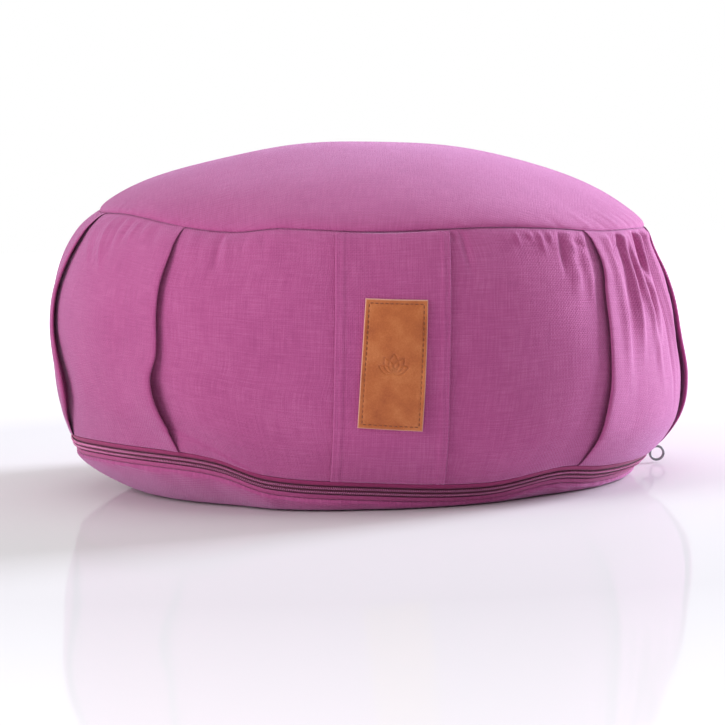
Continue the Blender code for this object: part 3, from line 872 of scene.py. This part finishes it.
def make_front_strip():
    half = PANEL_WIDTH / 2
    edge = half * (1.0 - 0.5 * np.geomspace(0.0001, 0.16, 12))
    across = np.concatenate([-edge, np.linspace(-edge[-1], edge[-1], PANEL_COLUMNS + 1)[1:-1], edge[::-1]])
    face = PANEL_PROUD + strip_section(across, half)
    across_back = np.linspace(half, -half, 9)
    loop = np.concatenate([across, across_back])
    height = np.concatenate([face, np.full(9, PANEL_PROUD - PANEL_THICK)])
    last = float(hem_down(np.array(PANEL_AZIMUTH)))
    down = between(0.004, last, spaced(WALL_HEIGHT, 0.0004, 0.0011, 0.0005, 0.012))[:, None]
    rolled = np.where(down > last - 0.004, (down - last + 0.004) / 0.004, 0.0) ** 2 * millimetres(0.35)
    rows = panel_place(loop[None, :], down, height[None, :] - rolled)
    length = np.concatenate([[0.0], np.cumsum(np.linalg.norm(np.diff(rows[:, 60], axis=0), axis=1))])
    places = np.stack(np.meshgrid(np.append(loop, loop[0]), -length), -1)
    mesh = grid_mesh("front_strip", rows, places, rows[0].mean(0), rows[-1].mean(0))
    strip = show("front_strip", mesh, cotton, "cotton", "front_panel")
    print("the strip is", round(1000 * length[-1]), "mm long over the bulge")
    return strip


front_strip = make_front_strip()

# %% [markdown]
# Stitches, zip teeth and the like are one small shape many times over. Each place is a point with three
# axes: along the stitch, across it and out of the cloth. Numpy puts the template at every place at once,
# and they become one mesh.

# %% Many small things in one mesh
def bead(length, wide, high, sides, rings, dip=0.0):
    """A rounded bar along X, thickest in its middle: the points and faces of one stitch or tooth."""
    at = np.linspace(-1.0, 1.0, rings)
    girth = np.sqrt(np.clip(1.0 - np.abs(at) ** 3.0, 0.0, 1.0)) * 0.94 + 0.06
    turn = np.arange(sides) / sides * 2 * math.pi
    points = [(a * length / 2, math.cos(t) * g * wide / 2, math.sin(t) * g * high / 2 - dip * a * a)
              for a, g in zip(at, girth) for t in turn]
    faces = [(r * sides + s, r * sides + (s + 1) % sides, (r + 1) * sides + (s + 1) % sides, (r + 1) * sides + s)
             for r in range(rings - 1) for s in range(sides)]
    faces += [tuple(range(sides))[::-1], tuple((rings - 1) * sides + s for s in range(sides))]
    return np.array(points), [face[::-1] for face in faces]


def scattered(name, shape, spots, along, out):
    """One mesh of a shape at many spots, its X along the given directions and its Z out of the surface."""
    points, faces = shape
    along = along / np.linalg.norm(along, axis=1, keepdims=True)
    across = np.cross(out, along)
    across /= np.linalg.norm(across, axis=1, keepdims=True)
    axes = np.stack([along, across, np.cross(along, across)], 1)
    placed = np.einsum("pk,nkx->npx", points, axes) + spots[:, None, :]
    all_faces = [tuple(v + n * len(points) for v in face) for n in range(len(spots)) for face in faces]
    mesh = bpy.data.meshes.new(name)
    mesh.from_pydata(placed.reshape(-1, 3).tolist(), [], all_faces)
    mesh.shade_smooth()
    return mesh


print("a stitch is", len(bead(1, 1, 1, 6, 5)[1]), "faces")

# %% [markdown]
# Topstitching thread is spun polyester, dyed to match and a little shinier than the cotton. A lockstitch of
# about eight stitches to 25 mm shows as separate short beads that dip into the cloth at both ends.

# %% Topstitching on the front strip
STITCH_LONG = 0.0026
STITCH_PITCH = 0.0031


def make_thread(name, code):
    finish, tree, shader = new_finish(name, Roughness=0.55, IOR=1.5, Sheen_Weight=0.15, Sheen_Roughness=0.4)
    twist = add(tree, "ShaderNodeTexWave", {"Vector": add(tree, "ShaderNodeTexCoord").outputs["Object"],
                                            "Scale": 1.0 / millimetres(0.5), "Distortion": 1.5, "Detail": 1.0},
                bands_direction="DIAGONAL").outputs["Fac"]
    # The twist's bands are painted in a darker copy of the thread's colour: painted shade.
    twist_band_shade = (*[part * 0.72 for part in colour(code)[:3]], 1.0)
    mixed = add(tree, "ShaderNodeMix", {0: twist, 6: colour(code), 7: twist_band_shade}, data_type="RGBA").outputs[2]
    tree.links.new(mixed, shader.inputs["Base Color"])
    bump = add(tree, "ShaderNodeBump", {"Height": twist, "Strength": 0.4, "Distance": 0.0001})
    tree.links.new(bump.outputs[0], shader.inputs["Normal"])
    return finish


cover_thread = make_thread("spun polyester thread, fuchsia", "#BE5A97")


def make_topstitching():
    last = float(hem_down(np.array(PANEL_AZIMUTH)))
    count = int(0.128 / STITCH_PITCH)
    down = np.repeat((np.arange(count) + 0.5) / count * (last - 0.012) + 0.008, 2)
    across = np.tile([-1.0, 1.0], count) * (PANEL_WIDTH / 2 - STITCH_INSET)
    out = PANEL_PROUD + strip_section(across, PANEL_WIDTH / 2) + 0.00012
    spots = panel_place(across, down, out)
    below = panel_place(across, down + 0.004, out)
    beside = panel_place(across + 0.0005, down, out)
    normal = np.cross(beside - spots, below - spots) * -1.0
    shape = bead(STITCH_LONG, 0.00042, 0.00042, 6, 5, 0.00016)
    mesh = scattered("strip_topstitching", shape, spots, below - spots, normal)
    return show("strip_topstitching", mesh, cover_thread, "cotton")


strip_topstitching = make_topstitching()

# %% [markdown]
# The patch is vegetable-tanned cowhide, 1.6 mm thick, dyed tan in the drum, with its edges left raw. It is
# stitched on all round with waxed thread in a pressed channel. Its face bears a debossed lotus of plain
# petals, pressed into the damp leather with a hot die, which leaves rounded hollows that are a little
# darker.

# %% The leather patch
PATCH_AZIMUTH = 3.6
PATCH_DOWN = 0.49
PATCH_WIDTH = 0.030
PATCH_HEIGHT = 0.060
PATCH_TURN = math.radians(2.0)
PATCH_THICK = 0.0016
PATCH_INSET = 0.0019
PATCH_STEP = 0.00032
PATCH_PROUD = PANEL_PROUD + GAP + PATCH_THICK


# The lotus: each petal's turn in degrees, its length and its width in mm
LOTUS_PETALS = ((0, 9.0, 4.6), (34, 8.4, 4.2), (-34, 8.4, 4.2), (66, 7.6, 3.6), (-66, 7.6, 3.6))


def patch_place(across, drop, out):
    """A point of the patch by metres across and down from its middle, turned a little, on the bulging wall."""
    turned_across = across * math.cos(PATCH_TURN) - drop * math.sin(PATCH_TURN)
    turned_drop = across * math.sin(PATCH_TURN) + drop * math.cos(PATCH_TURN)
    radius = SEAM_RADIUS + bulge(np.array(PATCH_AZIMUTH), np.array(PATCH_DOWN))
    azimuth = PATCH_AZIMUTH + np.degrees(turned_across / radius)
    return wall_point(azimuth, PATCH_DOWN + turned_drop / WALL_HEIGHT, out)


def lotus(across, drop):
    """How deep the die pressed, from 0 to 1: the outlines of petals that fan out from one point."""
    pressed = np.zeros(across.shape)
    base = 0.0035
    for turn, long_mm, wide_mm in LOTUS_PETALS:
        angle = math.radians(turn)
        side = across * math.cos(angle) + (drop - base) * math.sin(angle)
        up = across * math.sin(angle) - (drop - base) * math.cos(angle)
        share = up / millimetres(long_mm)
        half = millimetres(wide_mm / 2) * np.sin(math.pi * np.clip(share, 0.0, 1.0) ** 0.8)
        off_line = np.abs(np.abs(side) - half)
        line = np.exp(-((off_line / 0.00038) ** 2)) * ((share > 0.0) & (share < 1.0))
        pressed = np.maximum(pressed, line)
    return pressed


def rounded_height(x, y, half_x, half_y, radius, thick):
    """A plate's height over its back, full in its middle and falling over a round edge."""
    inside = np.minimum(half_x - np.abs(x), half_y - np.abs(y))
    return thick * np.sqrt(np.clip(1.0 - (1.0 - np.clip(inside / radius, 0.0, 1.0)) ** 2, 0.0, 1.0))


def edge_dense(half, step, fine):
    """Places from -half to half: close together near the ends, a step apart between."""
    near = half - np.array([0.0, 0.2, 0.5, 0.9, 1.4, 2.0]) * fine
    middle = np.linspace(-near[-1], near[-1], int(2 * near[-1] / step) + 1)[1:-1]
    return np.concatenate([-near, middle, near[::-1]])


def make_patch(finish):
    half_x, half_y = PATCH_WIDTH / 2, PATCH_HEIGHT / 2
    x = edge_dense(half_x, PATCH_STEP, 0.00028)
    y = edge_dense(half_y, PATCH_STEP, 0.00028)
    xs, ys = np.meshgrid(x, y)
    face = rounded_height(xs, ys, half_x, half_y, 0.0005, PATCH_THICK * 0.35) + PATCH_THICK * 0.65
    inside = np.minimum(half_x - np.abs(xs), half_y - np.abs(ys))
    face -= millimetres(0.26) * np.exp(-(((inside - PATCH_INSET) / 0.00042) ** 2))
    face -= millimetres(0.50) * lotus(xs, ys)
    wave = millimetres(0.25) * np.sin(ys / PATCH_HEIGHT * 2.2 * math.pi) * (np.abs(xs) / half_x) ** 3
    top = patch_place(xs, ys, PATCH_PROUD - PATCH_THICK + face + wave)
    back = patch_place(xs, ys, np.full(xs.shape, PATCH_PROUD - PATCH_THICK) + wave)
    back_x = [0, len(x) // 2, len(x) - 1]
    rows, places = [], []
    for r in range(len(y)):
        rows.append(np.concatenate([top[r], back[r][back_x[::-1]]]))
        loop_x = np.concatenate([x, x[back_x[::-1]], x[:1]])
        places.append(np.stack([loop_x, np.full(loop_x.shape, -y[r])], -1))
    mesh = grid_mesh("leather_label", np.array(rows), np.array(places), rows[0].mean(0), rows[-1].mean(0))
    return show("leather_label", mesh, finish, "leather", "leather_patch")


def make_leather():
    """Vegetable-tanned leather: pebbled grain, slow colour drift and paler raw edges."""
    finish, tree, shader = new_finish("vegetable-tanned leather, tan", Roughness=0.52, IOR=1.5,
                                      Specular_IOR_Level=0.45)
    place = add(tree, "ShaderNodeUVMap", uv_map="cloth").outputs["UV"]
    grain = add(tree, "ShaderNodeTexVoronoi", {"Vector": place, "Scale": 1.0 / millimetres(0.55)},
                feature="DISTANCE_TO_EDGE").outputs["Distance"]
    pebble = add(tree, "ShaderNodeMapRange", {0: grain, 1: 0.0, 2: 0.35}).outputs[0]
    fibre = add(tree, "ShaderNodeTexNoise", {"Vector": place, "Scale": 1.0 / millimetres(0.9), "Detail": 5.0,
                                             "Roughness": 0.65}).outputs[0]
    drift = add(tree, "ShaderNodeTexNoise",
                {"Vector": place, "Scale": 1.0 / millimetres(11.0), "Detail": 3.0}).outputs[0]
    worn = add(tree, "ShaderNodeMath", {0: fibre, 1: 0.5, 2: drift}, operation="MULTIPLY_ADD").outputs[0]
    ramp = add(tree, "ShaderNodeValToRGB", {0: worn})
    ramp.color_ramp.elements[0].position = 0.45
    ramp.color_ramp.elements[0].color = colour("#9A4A20")
    ramp.color_ramp.elements[1].position = 1.0
    ramp.color_ramp.elements[1].color = colour("#C47440")
    middle = ramp.color_ramp.elements.new(0.72)
    middle.color = colour("#B25F2C")
    axes = add(tree, "ShaderNodeSeparateXYZ", {0: place})
    near_edge = []
    for axis, half in (("X", PATCH_WIDTH / 2), ("Y", PATCH_HEIGHT / 2)):
        size = add(tree, "ShaderNodeMath", {0: axes.outputs[axis]}, operation="ABSOLUTE").outputs[0]
        near_edge.append(add(tree, "ShaderNodeMapRange",
                             {0: size, 1: half - 0.0006, 2: half - 0.00005}).outputs[0])
    rim = add(tree, "ShaderNodeMath", {0: near_edge[0], 1: near_edge[1]}, operation="MAXIMUM").outputs[0]
    raw = add(tree, "ShaderNodeMix", {0: rim, 6: ramp.outputs[0], 7: colour("#D7A48C")}, data_type="RGBA").outputs[2]
    tree.links.new(raw, shader.inputs["Base Color"])
    relief = add(tree, "ShaderNodeMath", {0: fibre, 1: 0.6, 2: pebble}, operation="MULTIPLY_ADD").outputs[0]
    bump = add(tree, "ShaderNodeBump", {"Height": relief, "Strength": 0.35, "Distance": 0.00012})
    tree.links.new(bump.outputs[0], shader.inputs["Normal"])
    gloss = add(tree, "ShaderNodeMapRange", {0: worn, 1: 0.5, 2: 1.0, 3: 0.60, 4: 0.44}).outputs[0]
    tree.links.new(gloss, shader.inputs["Roughness"])
    return finish


leather_label = make_patch(make_leather())

# %% Stitches round the patch
PATCH_STITCH = 0.0019
PATCH_STITCH_PITCH = 0.0024
patch_thread = make_thread("waxed thread, dark tan", "#8A431C")


def make_patch_stitches():
    half_x, half_y = PATCH_WIDTH / 2 - PATCH_INSET, PATCH_HEIGHT / 2 - PATCH_INSET
    spots = []
    for start, end in (((-1, -1), (1, -1)), ((1, -1), (1, 1)), ((1, 1), (-1, 1)), ((-1, 1), (-1, -1))):
        a = np.array(start) * (half_x, half_y)
        b = np.array(end) * (half_x, half_y)
        count = round(np.linalg.norm(b - a) / PATCH_STITCH_PITCH)
        for n in range(count):
            spots.append((*between(a, b, (n + 0.5) / count), *((b - a) / np.linalg.norm(b - a))))
    across, drop, step_across, step_drop = np.array(spots).T
    out = PATCH_PROUD - 0.00012
    here = patch_place(across, drop, out)
    ahead = patch_place(across + step_across * 0.0005, drop + step_drop * 0.0005, out)
    outside = patch_place(across, drop, out + 0.001)
    shape = bead(PATCH_STITCH, 0.0005, 0.00045, 6, 5, 0.00015)
    mesh = scattered("label_stitches", shape, here, ahead - here, outside - here)
    return show("label_stitches", mesh, patch_thread, "leather")


label_stitches = make_patch_stitches()

# %% [markdown]
# The zip is a nylon coil: two tapes, each with a spiral of nylon filament sewn along its edge, whose turns
# mesh. From outside, each side's turns show as short slanted bars, and the two rows together look like a
# plait. Tapes are woven polyester with fine ribs along them. The teeth are bars at a 1.05 mm pitch, made
# once and repeated.

# %% Zip tapes
CHAIN_HALF = 0.0021
TAPE_THICKNESS = 0.0009
TAPE_SINK = 0.0004
CHAIN_PROUD = 0.0007
ZIP_COLUMNS = 900


def make_zip_finish(name, deep, pale, rib_mm, roughness):
    finish, tree, shader = new_finish(name, Roughness=roughness, IOR=1.5, Sheen_Weight=0.1, Sheen_Roughness=0.4)
    place = add(tree, "ShaderNodeUVMap", uv_map="cloth").outputs["UV"]
    ribs = add(tree, "ShaderNodeTexWave", {"Vector": place, "Scale": 0.31 / millimetres(rib_mm), "Distortion": 0.4},
               bands_direction="Y").outputs["Fac"]
    speckle = add(tree, "ShaderNodeTexNoise",
                  {"Vector": place, "Scale": 1.0 / millimetres(1.2), "Detail": 3.0}).outputs[0]
    # The colour follows the ribs, paler on their crowns and deeper between them, which is painted light and shade. The
    # speckle is the yarn's own tone.
    shade = add(tree, "ShaderNodeMath", {0: ribs, 1: 0.5, 2: speckle}, operation="MULTIPLY_ADD").outputs[0]
    share = add(tree, "ShaderNodeMapRange", {0: shade, 1: 0.3, 2: 1.2}).outputs[0]
    mixed = add(tree, "ShaderNodeMix", {0: share, 6: colour(deep), 7: colour(pale)}, data_type="RGBA").outputs[2]
    tree.links.new(mixed, shader.inputs["Base Color"])
    bump = add(tree, "ShaderNodeBump", {"Height": ribs, "Strength": 0.5, "Distance": 0.00015})
    tree.links.new(bump.outputs[0], shader.inputs["Normal"])
    return finish


# The two tapes are one woven tape. The lower tape's finish is a paler copy of the upper one's, so the difference
# between them is painted light and shade.
tape_finish = make_zip_finish("woven polyester tape", "#861852", "#A63272", 0.6, 0.7)
lower_tape_painted_paler = make_zip_finish("woven polyester tape, lower, painted paler", "#962C66", "#BE5A94", 0.6, 0.7)
# The core cord is painted nearly black: painted shade in the gaps between the teeth.
core_painted_shade = make_zip_finish("core cord painted dark as shade", "#3C0622", "#560C34", 0.6, 0.8)
coil_finish = make_zip_finish("dyed nylon coil", "#BC4E8C", "#E494C2", 0.8, 0.32)


def make_ring_strip(name, finish, slot, section, *nodes):
    """A strip right round the foot whose section is a loop of heights above the zip's middle line and depths out."""
    azimuth = np.linspace(-180.0, 180.0, ZIP_COLUMNS + 1)[:-1]
    rows = np.array([foot_point(azimuth, above, out) for above, out in section])
    along = np.linspace(-math.pi, math.pi, ZIP_COLUMNS + 1) * 0.157
    up = np.array([above for above, _ in section] + [section[0][0]])
    places = np.stack(np.meshgrid(along, up), -1)
    mesh = grid_mesh(name, rows, places, tube=True)
    return show(name, mesh, finish, slot, *nodes)


def strip_loop(top, bottom, proud, thick, crown):
    """A strip's section, from its top down its face and up its back, with round edges and a slightly crowned face."""
    height = top - bottom
    face = [(top - height * s, proud - thick * 0.3 * abs(2 * s - 1) ** 4 + crown * (1 - (2 * s - 1) ** 2))
            for s in (0.0, 0.08, 0.25, 0.5, 0.75, 0.92, 1.0)]
    return face + [(bottom, proud - thick), (top, proud - thick)]


upper_tape = make_ring_strip("upper_tape", tape_finish, "zip_tape",
                             strip_loop(TAPE_TOP, CHAIN_HALF + GAP, -TAPE_SINK, TAPE_THICKNESS, 0.0),
                             "zip_tape_upper")
lower_tape = make_ring_strip("lower_tape", lower_tape_painted_paler, "zip_tape",
                             strip_loop(-CHAIN_HALF - GAP, -TAPE_TOP, -TAPE_SINK, TAPE_THICKNESS, 0.0),
                             "zip_tape_lower")

# %% The coil's teeth
TOOTH_PITCH = 0.00105
TOOTH_SLANT = math.radians(34.0)


def make_coil():
    core = make_ring_strip("coil_core", core_painted_shade, "zip_coil",
                           strip_loop(CHAIN_HALF, -CHAIN_HALF, 0.0, 0.0010, 0.0))
    count = round(2 * math.pi * 0.157 / TOOTH_PITCH)
    azimuth = np.arange(count) / count * 360.0 - 180.0
    spots, alongs, outs = [], [], []
    for side in (1.0, -1.0):
        turn = azimuth + (0.5 * 360.0 / count if side < 0 else 0.0)
        above = np.full(count, side * CHAIN_HALF * 0.52)
        lean = math.sin(TOOTH_SLANT) * 0.001
        here = foot_point(turn, above, CHAIN_PROUD - 0.00035)
        tip = foot_point(turn + np.degrees(lean / 0.157), above - side * math.cos(TOOTH_SLANT) * 0.001,
                         CHAIN_PROUD - 0.00035)
        spots.append(here)
        alongs.append(tip - here)
        outs.append(foot_point(turn, above, CHAIN_PROUD + 0.001) - here)
    shape = bead(0.0020, 0.00052, 0.0009, 5, 4, 0.00012)
    mesh = scattered("coil_teeth", shape, *(np.concatenate(part) for part in (spots, alongs, outs)))
    layer = mesh.uv_layers.new(name="cloth")
    corners = np.zeros(len(mesh.loops), np.int32)
    mesh.loops.foreach_get("vertex_index", corners)
    places = np.array([(v.co.x + v.co.y, v.co.z) for v in mesh.vertices])[corners]
    layer.data.foreach_set("uv", places.astype(np.float32).ravel())
    teeth = show("coil_teeth", mesh, coil_finish, "zip_coil", "zip_chain")
    return core, teeth


coil_core, coil_teeth = make_coil()

# %% [markdown]
# The slider and its pull are die-cast zinc with a gunmetal plating: dark, slightly warm grey, polished but
# soft. They keep the place and size of their solids. The slider's plate is widest where the two tapes come
# in, and its bridge holds the pull's bar. The pull is a flat head with a window, a waist and a round eye.
# Both are flat outlines given thickness and a round edge by a curve's own extrude and bevel.

# %% Slider and pull
SLIDER_AZIMUTH = 97.0
SLIDER_LENGTH = 0.0085
SLIDER_WIDTH = 0.0066
SLIDER_PLATE = 0.0016
BRIDGE_SPAN = 0.0052
BRIDGE_RISE = 0.0026
PULL_THICKNESS = 0.0012
PULL_LENGTH = 0.0115
PULL_HEAD_WIDTH = 0.0066
PULL_WAIST_WIDTH = 0.0050
PULL_BAR = 0.0012
PULL_WINDOW = 0.0036
EYE_RADIUS = 0.0044
EYE_HOLE_RADIUS = 0.0031
CAST_ROUNDING = 0.00028


def make_gunmetal():
    finish, tree, shader = new_finish("gunmetal-plated zinc", Metallic=1.0, Roughness=0.3)
    place = add(tree, "ShaderNodeTexCoord").outputs["Object"]
    cast = add(tree, "ShaderNodeTexNoise",
               {"Vector": place, "Scale": 1.0 / millimetres(0.8), "Detail": 4.0}).outputs[0]
    rubbed = add(tree, "ShaderNodeTexNoise",
                 {"Vector": place, "Scale": 1.0 / millimetres(3.0), "Detail": 2.0}).outputs[0]
    tint = add(tree, "ShaderNodeMix", {0: rubbed, 6: colour("#5A5B5E"), 7: colour("#9A9A9C")}, data_type="RGBA")
    tree.links.new(tint.outputs[2], shader.inputs["Base Color"])
    rough = add(tree, "ShaderNodeMapRange", {0: rubbed, 1: 0.2, 2: 0.8, 3: 0.22, 4: 0.42}).outputs[0]
    tree.links.new(rough, shader.inputs["Roughness"])
    bump = add(tree, "ShaderNodeBump", {"Height": cast, "Strength": 0.2, "Distance": 0.00006})
    tree.links.new(bump.outputs[0], shader.inputs["Normal"])
    return finish


gunmetal = make_gunmetal()


def slider_frame():
    """The slider's place on the zip: along the zip, across it upwards, and straight out of it."""
    at = np.array(SLIDER_AZIMUTH)
    ahead, behind = (Vector(foot_point(at + step, np.array(0.0), CHAIN_PROUD)) for step in (1.0, -1.0))
    above, below = (Vector(foot_point(at, np.array(side * CHAIN_HALF), CHAIN_PROUD)) for side in (1.0, -1.0))
    along = (ahead - behind).normalized()
    out = along.cross(above - below).normalized()
    place = Matrix((along, out.cross(along), out)).transposed().to_4x4()
    place.translation = foot_point(at, np.array(0.0), CHAIN_PROUD)
    return place


def cast_outline(name, outlines, thickness, rounding=CAST_ROUNDING):
    """A flat casting: closed outlines, the later ones its holes, with thickness and rounded edges."""
    data = bpy.data.curves.new(name, "CURVE")
    data.dimensions = "2D"
    data.fill_mode = "BOTH"
    for outline in outlines:
        spline = data.splines.new("POLY")
        spline.points.add(len(outline) - 1)
        for point, spot in zip(spline.points, outline):
            point.co = (*spot, 0.0, 1.0)
        spline.use_cyclic_u = True
    data.extrude = thickness / 2 - rounding
    data.bevel_depth = rounding
    data.bevel_resolution = 3
    data.offset = -rounding
    curve = bpy.data.objects.new(name, data)
    bpy.context.scene.collection.objects.link(curve)
    mesh = bpy.data.meshes.new_from_object(curve.evaluated_get(bpy.context.evaluated_depsgraph_get()))
    bpy.data.objects.remove(curve)
    shape = bmesh.new()
    shape.from_mesh(mesh)
    bmesh.ops.remove_doubles(shape, verts=shape.verts, dist=0.00001)
    shape.to_mesh(mesh)
    shape.free()
    return mesh


def arc(centre, radius, start, end, steps):
    turns = [math.radians(between(start, end, i / steps)) for i in range(steps + 1)]
    return [(centre[0] + radius * math.cos(t), centre[1] + radius * math.sin(t)) for t in turns]


def rounded_box(x0, x1, half_y0, half_y1, radius, steps=5):
    """An outline that is symmetric about X, from one half width at x0 to another at x1, with round corners."""
    points = arc((x1 - radius, half_y1 - radius), radius, 0, 90, steps)
    points += arc((x0 + radius, half_y0 - radius), radius, 90, 180, steps)
    points += arc((x0 + radius, -half_y0 + radius), radius, 180, 270, steps)
    return points + arc((x1 - radius, -half_y1 + radius), radius, 270, 360, steps)


def joined(name, meshes):
    shape = bmesh.new()
    for mesh in meshes:
        shape.from_mesh(mesh)
    made = bpy.data.meshes.new(name)
    shape.to_mesh(made)
    shape.free()
    made.shade_smooth()
    made.set_sharp_from_angle(angle=math.radians(50))
    return made


def make_slider():
    place = slider_frame()
    half_long, half_wide = SLIDER_LENGTH / 2, SLIDER_WIDTH / 2
    plate = cast_outline("plate", [rounded_box(-half_long, half_long, half_wide * 0.72, half_wide, 0.0013)],
                         SLIDER_PLATE)
    plate.transform(Matrix.Translation((0.0, 0.0, GAP + SLIDER_PLATE / 2)))
    foot = GAP + SLIDER_PLATE
    half_span = BRIDGE_SPAN / 2
    arch = [(-half_span * math.cos(math.radians(a)), foot - 0.0004 + BRIDGE_RISE * math.sin(math.radians(a)))
            for a in range(0, 181, 12)]
    under = [(x * 0.72, foot - 0.0004 + (z - foot + 0.0004) * 0.70) for x, z in arch[::-1]]
    bridge = cast_outline("bridge", [arch + under], 0.0020, 0.0002)
    bridge.transform(Matrix.Rotation(math.radians(90), 4, "X"))
    mesh = joined("slider_body", [plate, bridge])
    mesh.transform(place)
    return show("slider_body", mesh, gunmetal, "gunmetal", "zip_slider")


def make_pull():
    head = -PULL_BAR
    window_end = PULL_WINDOW
    shoulder = window_end + 2 * PULL_BAR
    half_head, half_waist = PULL_HEAD_WIDTH / 2, PULL_WAIST_WIDTH / 2
    meets = math.degrees(math.asin(half_waist * 0.8 / EYE_RADIUS))
    outline = arc((head + 0.0008, half_head - 0.0008), 0.0008, 180, 90, 5)
    outline += [(window_end, half_head), (shoulder, half_waist), (shoulder + 0.0006, half_waist * 0.8)]
    outline += arc((PULL_LENGTH, 0.0), EYE_RADIUS, 180 - meets, meets - 180, 36)
    outline += [(shoulder + 0.0006, -half_waist * 0.8), (shoulder, -half_waist), (window_end, -half_head)]
    outline += arc((head + 0.0008, -half_head + 0.0008), 0.0008, 270, 180, 5)
    window = rounded_box(0.0, window_end, half_head - PULL_BAR, half_head - PULL_BAR, 0.0006, 4)
    hole = arc((PULL_LENGTH, 0.0), EYE_HOLE_RADIUS, 0, 350, 35)
    mesh = joined("slider_pull", [cast_outline("pull", [outline, window, hole], PULL_THICKNESS)])
    to_pull = Matrix(((0, 0, -1), (0, 1, 0), (1, 0, 0))).to_4x4()
    bar_height = GAP + SLIDER_PLATE + GAP + PULL_BAR
    mesh.transform(slider_frame() @ Matrix.Translation((0.0, 0.0, bar_height)) @ to_pull)
    return show("slider_pull", mesh, gunmetal, "gunmetal", "zip_pull")


slider_body = make_slider()
slider_pull = make_pull()

# %% [markdown]
# The studio is a white sweep: a pale floor that runs on behind the cushion into white. The floor is a
# glossy lacquered board, so it holds a faint mirror picture of the cushion. It is a plain plane that glows
# more and more away from the cushion, which is painted light, so that its far edge is lost in the white.

# %% The floor
FLOOR_SIZE = 12.0
FLOOR_GLOSS = 0.12
SWEEP_STARTS = 0.40
SWEEP_ENDS = 1.5
SWEEP_PAINTED_GLOW = 1.0


def make_floor():
    shape = bmesh.new()
    bmesh.ops.create_grid(shape, x_segments=1, y_segments=1, size=FLOOR_SIZE / 2)
    mesh = bpy.data.meshes.new("floor")
    shape.to_mesh(mesh)
    shape.free()
    floor = bpy.data.objects.new("floor", mesh)
    floor.location.z = -0.0002
    bpy.context.scene.collection.objects.link(floor)
    finish = bpy.data.materials.new("white lacquered board, painted glow")
    finish.use_nodes = True
    tree = finish.node_tree
    tree.nodes.remove(tree.nodes["Principled BSDF"])
    place = add(tree, "ShaderNodeTexCoord").outputs["Object"]
    # Painted light: the floor glows by its own emission, more and more the farther it lies from the cushion.
    away = add(tree, "ShaderNodeVectorMath", {0: place}, operation="LENGTH").outputs["Value"]
    painted_glow_strength = add(tree, "ShaderNodeMapRange", {0: away, 1: SWEEP_STARTS, 2: SWEEP_ENDS, 3: 0.0, 4: SWEEP_PAINTED_GLOW}).outputs[0]
    painted_floor_glow = add(tree, "ShaderNodeEmission", {"Color": colour("#FFFFFF"), "Strength": painted_glow_strength}).outputs[0]
    board = add(tree, "ShaderNodeBsdfDiffuse", {"Color": colour("#E2E0E2")}).outputs[0]
    matt = add(tree, "ShaderNodeAddShader", {0: board, 1: painted_floor_glow}).outputs[0]
    gloss = add(tree, "ShaderNodeBsdfGlossy", {"Color": colour("#FFFFFF"), "Roughness": 0.06}).outputs[0]
    mixed = add(tree, "ShaderNodeMixShader", {0: FLOOR_GLOSS, 1: matt, 2: gloss}).outputs[0]
    tree.links.new(mixed, tree.nodes["Material Output"].inputs["Surface"])
    mesh.materials.append(finish)
    return floor


floor = make_floor()

# %% [markdown]
# The light is soft and comes from all round, with three large soft boxes: a broad one in front on the left,
# one overhead, and a strong one behind on the right, which rakes over the dome and lights the right flank.
# The front right stays in gentle shade between them. The white world fills the shadows.

# %% World and lights
WORLD_STRENGTH = 0.38
# Soft boxes: name, where it stands, where it points, width, height, watts, colour
SOFT_BOXES = (
    ("front_left_box", (-1.9, -1.05, 0.9), (0.0, 0.0, 0.08), 1.4, 1.4, 32.0, "#FFFFFF"),
    ("top_box", (-0.2, 0.1, 2.0), (0.0, 0.0, 0.0), 1.8, 1.8, 11.0, "#FFFFFF"),
    ("back_right_box", (1.7, 0.95, 0.65), (0.0, 0.0, 0.08), 0.7, 1.2, 82.0, "#EEF0FF"),
)


def make_world():
    world = bpy.data.worlds.new("white studio")
    world.use_nodes = True
    tree = world.node_tree
    backdrop = add(tree, "ShaderNodeBackground", {"Color": colour("#FFFFFF"), "Strength": 1.0}).outputs[0]
    fill = add(tree, "ShaderNodeBackground", {"Color": colour("#FFFFFF"), "Strength": WORLD_STRENGTH}).outputs[0]
    path = add(tree, "ShaderNodeLightPath")
    seen = add(tree, "ShaderNodeMath", {0: path.outputs["Is Camera Ray"], 1: path.outputs["Is Glossy Ray"]},
               operation="MAXIMUM").outputs[0]
    mixed = add(tree, "ShaderNodeMixShader", {0: seen, 1: fill, 2: backdrop}).outputs[0]
    tree.links.new(mixed, tree.nodes["World Output"].inputs["Surface"])
    bpy.context.scene.world = world


def make_soft_box(name, spot, target, width, height, watts, tint):
    light = bpy.data.lights.new(name, "AREA")
    light.shape = "RECTANGLE"
    light.size = width
    light.size_y = height
    light.energy = watts
    light.color = colour(tint)[:3]
    box = bpy.data.objects.new(name, light)
    box.location = spot
    box.rotation_euler = (Vector(target) - Vector(spot)).to_track_quat("-Z", "Y").to_euler()
    bpy.context.scene.collection.objects.link(box)


make_world()
for soft_box in SOFT_BOXES:
    make_soft_box(*soft_box)
bpy.context.scene.view_settings.view_transform = "Standard"
print(len(SOFT_BOXES), "soft boxes and a white world")
